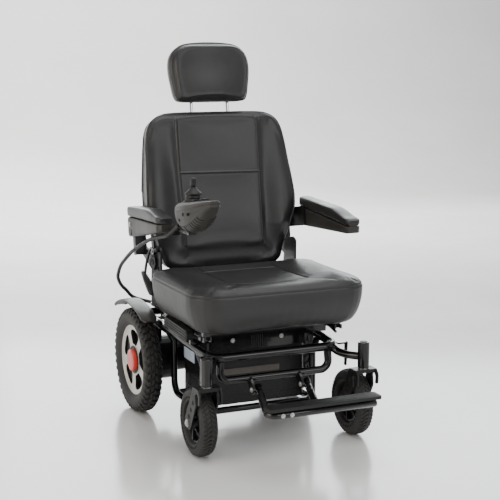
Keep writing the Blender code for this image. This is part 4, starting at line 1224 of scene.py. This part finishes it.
def make_armrest(side):
    """A moulded base with its cushion; the right arm, with the controller, is shorter and tipped up."""
    name = NAMES[side]
    angle = math.radians(7.5) if side == RIGHT else 0.0
    rear = -0.06
    front = -0.35 if side == RIGHT else -0.384
    base, pad = [], []
    count = 34
    for k in range(count + 1):
        y = rear + (front - rear) * k / count
        inner, outer, bottom, parting, top = arm_station(k / count)
        end = min(k, count - k) / count
        pinch = 0.01 * max(0.0, 1 - end / 0.045) ** 2
        tail = 0.006 * max(0.0, 1 - end / 0.045) ** 2
        low, high = span_of(side, inner + tail, outer - pinch)
        base.append(tip(section_ring(low, high, bottom + tail * 0.4, parting - 0.0006, y, 7.0), angle))
        pad.append(tip(section_ring(low, high, parting + 0.0002, top - tail * 0.8, y, 4.6), angle))
    bm = bmesh.new()
    add_rings(bm, base)
    # The small opening on the outer face is a near-black patch: painted shade in the opening.
    _, y, z = tip([(0, -0.1, 0.566)], angle)[0]
    opening = [(y - 0.004, z - 0.009), (y + 0.004, z - 0.009), (y + 0.004, z + 0.009), (y - 0.004, z + 0.009)]
    add_prism(bm, fillet(opening, 0.0036, 5, True), "yz", *span_of(side, 0.2982, 0.2993), 0, 1)
    add_bolt(bm, (side * 0.299, *ARM_PIN), "x", side, 0.0055, 0.003, 2)
    piece(bm, f"arm_shell_{name}", ["moulded_plastic", "gap", "steel"], f"armrest_{name}",
          hides=[f"arm_base_{name}"], angle=40)
    bm = bmesh.new()
    add_rings(bm, pad)
    made = piece(bm, f"arm_cushion_{name}", "leather", f"armrest_{name}", hides=[f"arm_pad_{name}"], angle=50)


# Stations of the controller's shells: y, heights of the bottom, the parting line and the top, half width
CONTROL = [
    (-0.411, 0.656, 0.668, 0.676, 0.018),
    (-0.419, 0.643, 0.667, 0.684, 0.031),
    (-0.434, 0.629, 0.667, 0.691, 0.039),
    (-0.458, 0.619, 0.67, 0.695, 0.0425),
    (-0.492, 0.618, 0.677, 0.699, 0.0425),
    (-0.528, 0.634, 0.684, 0.704, 0.039),
    (-0.562, 0.658, 0.693, 0.709, 0.033),
    (-0.594, 0.683, 0.701, 0.713, 0.025),
    (-0.618, 0.699, 0.707, 0.714, 0.014),
]
HULL_POWER = 2.6  # roundness of the lower shell's section


def half_ring(centre, half, seam, reach, y, way, power, sides=22):
    """The part of a rounded section above or below its parting line."""
    ring = []
    for k in range(sides + 1):
        a = math.pi * k / sides
        c = math.cos(a)
        x = centre + half * math.copysign(abs(c) ** (2 / power), c)
        ring.append((x, y, seam + way * (0.0003 + reach * abs(math.sin(a)) ** (2 / power))))
    return ring


def make_controller():
    dense = smooth_route([Vector((a, b, c)) for a, b, c, _, _ in CONTROL], 6)
    more = smooth_route([Vector((a, d, e)) for a, _, _, d, e in CONTROL], 6)
    lower, upper = [], []
    for p, q in zip(dense, more):
        y, low, mid, top, half = p.x, p.y, p.z, q.y, q.z
        lower.append(half_ring(STICK_X, half, mid, mid - low, y, -1, HULL_POWER))
        upper.append(half_ring(STICK_X, half, mid, top - mid, y, 1, 3.2))
    bm = bmesh.new()
    add_rings(bm, lower)
    add_grooves(bm)
    # The holes are near-black plugs: painted shade in the holes.
    for y, z, radius in ((-0.5, 0.668, 0.0052), (-0.532, 0.672, 0.004), (-0.474, 0.65, 0.004)):
        hole = [(0.004, radius), (-0.0012, radius), (-0.0018, radius * 0.6)]
        add_spindle(bm, hole, (-0.289, y, z), "x", 18, 1)
    hides = ["controller_lower_shell"]
    piece(bm, "controller_hull", ["moulded_plastic", "gap"], "armrest_right", hides=hides, angle=40)
    bm = bmesh.new()
    add_rings(bm, upper)
    collar = [(0.694, 0.0225), (0.6985, 0.0255), (0.6975, 0.0275), (0.693, 0.0275)]
    add_lathe(bm, collar, (STICK_X, STICK_Y, 0), "z", 40, 1)
    button_ring = [(0.7045, 0.0066), (0.7085, 0.0066), (0.7088, 0.0078), (0.7045, 0.0082)]
    for x in (-0.264, -0.232):
        add_lathe(bm, button_ring, (x, -0.522, 0), "z", 28, 1)
    for k in range(5):
        x = -0.262 + 0.007 * k
        add_spindle(bm, [(0.7095, 0.0014), (0.7116, 0.0013), (0.7119, 0.0006)], (x, -0.534, 0), "z", 12, 1)
    hides = ["controller_upper_shell"]
    piece(bm, "controller_lid", ["moulded_plastic", "rubber"], "armrest_right", hides=hides, angle=40)


def add_grooves(bm):
    """Thin near-black tubes round the lower flanks of the controller: painted shade in the grooves between
    its ribs.
    """
    columns = list(zip(*CONTROL))
    back = [-y for y in columns[0]]
    for k in range(13):
        y = -0.444 - 0.0098 * k
        low, mid, half = (float(np.interp(-y, back, columns[i])) for i in (1, 2, 4))
        for way in (RIGHT, LEFT):
            path = []
            for j in range(8):
                a = math.radians(38 + 6 * j)
                x = STICK_X + way * half * math.cos(a) ** (2 / HULL_POWER)
                path.append((x, y, mid - (mid - low) * math.sin(a) ** (2 / HULL_POWER)))
            add_tube(bm, path, 0.0015, 6, slot=1)


def make_joystick():
    """The stick and its boot, whose bellows and cone ride on no body."""
    centre = (STICK_X, STICK_Y, STICK_Z)
    waist, tip_height = 0.0392, 0.059

    bellows = [(0.021, 0.021), (0.0245, 0.0228), (0.0262, 0.0222), (0.0285, 0.0198), (0.031, 0.0196)]
    bellows += [(0.033, 0.0218), (0.0348, 0.0218), (0.037, 0.0196), (waist, 0.0196), (waist, 0.0155)]
    bellows.append((0.021, 0.0165))
    cone = [(waist, 0.0196), (0.0412, 0.0216), (0.0432, 0.0228), (0.0446, 0.0222), (0.05, 0.0165)]
    cone += [(0.055, 0.011), (tip_height, 0.0078), (0.061, 0.0064), (tip_height, 0.0058)]
    cone += [(0.048, 0.012), (waist, 0.015)]
    bm = bmesh.new()
    add_lathe(bm, bellows, centre, "z", 48)
    made = piece(bm, "boot_bellows", "rubber", None, hides=["joystick_boot"], angle=60)
    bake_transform(made)
    bm = bmesh.new()
    add_lathe(bm, cone, centre, "z", 48)
    made = piece(bm, "boot_cone", "rubber", None, angle=60)
    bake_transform(made)
    bm = bmesh.new()
    knob = [(-0.004, 0.004), (0.06, 0.0042), (0.062, 0.007), (0.064, 0.0086), (0.069, 0.008)]
    knob += [(0.073, 0.0078), (0.078, 0.0086), (0.081, 0.0086), (0.0838, 0.0072), (0.085, 0.0045)]
    knob.append((0.0854, 0.0008))
    add_spindle(bm, knob, centre, "z", 36)
    piece(bm, "stick_knob", "rubber", "joystick", hides=["joystick_knob"], angle=50)


# Lead


ARM_LEAD = [
    (-0.272, -0.423, 0.629), (-0.275, -0.4, 0.615), (-0.28, -0.355, 0.592), (-0.282, -0.315, 0.583),
    (-0.285, -0.26, 0.571), (-0.286, -0.21, 0.557), (-0.286, -0.16, 0.54), (-0.286, -0.106, 0.52),
]
LEAD_LOOP = [
    (-0.286, -0.104, 0.5192), (-0.286, -0.067, 0.504), (-0.286, -0.023, 0.482), (-0.285, 0.039, 0.449),
    (-0.283, 0.073, 0.422), (-0.279, 0.095, 0.398), (-0.262, 0.12, 0.37), (-0.238, 0.138, 0.346),
    (-0.217, 0.147, 0.324), (-0.195, 0.118, 0.316), (-0.174, 0.082, 0.313), (-0.158, 0.056, 0.302),
    (-0.154, 0.046, 0.286), (-0.154, 0.046, 0.274),
]
LEAD_RADIUS = 0.0055


def lead_piece(name, path, bodies, hides=()):
    """A stretch of the lead that rides on its one body, or, given two bodies, on none."""
    bm = bmesh.new()
    add_tube(bm, path, LEAD_RADIUS, 16)
    made = piece(bm, name, "rubber", bodies[0] if len(bodies) == 1 else None, hides=hides, angle=60)
    if len(bodies) == 2:
        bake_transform(made)


def make_lead():
    lead_piece("lead_arm_run", smooth_route(ARM_LEAD, 6), ["armrest_right"], ["cable_arm_run"])
    loop = smooth_route(LEAD_LOOP, 6)
    total = len(loop) - 1
    first, second = int(total * 0.3), int(total * 0.52)
    lead_piece("lead_to_back", loop[: first + 1], ["armrest_right", "backrest"], ["cable_loop"])
    lead_piece("lead_to_seat", loop[first : second + 1], ["backrest", "seat"])
    lead_piece("lead_to_chassis", loop[second:], ["seat", "chassis"])


dress_frame()
make_camera()
make_lead()
make_stage()
make_seat_cushion()
make_seat_pan()
make_back_cushion()
make_headrest_cushion()
for side in (RIGHT, LEFT):
    make_drive_wheel(side)
    make_caster_wheel(side)
    make_fender(side)
    make_armrest(side)
make_tubes()
make_footrest()
make_recline_handle()
make_chassis_details()
make_case_details()
make_slide_covers()
make_controller()
make_joystick()
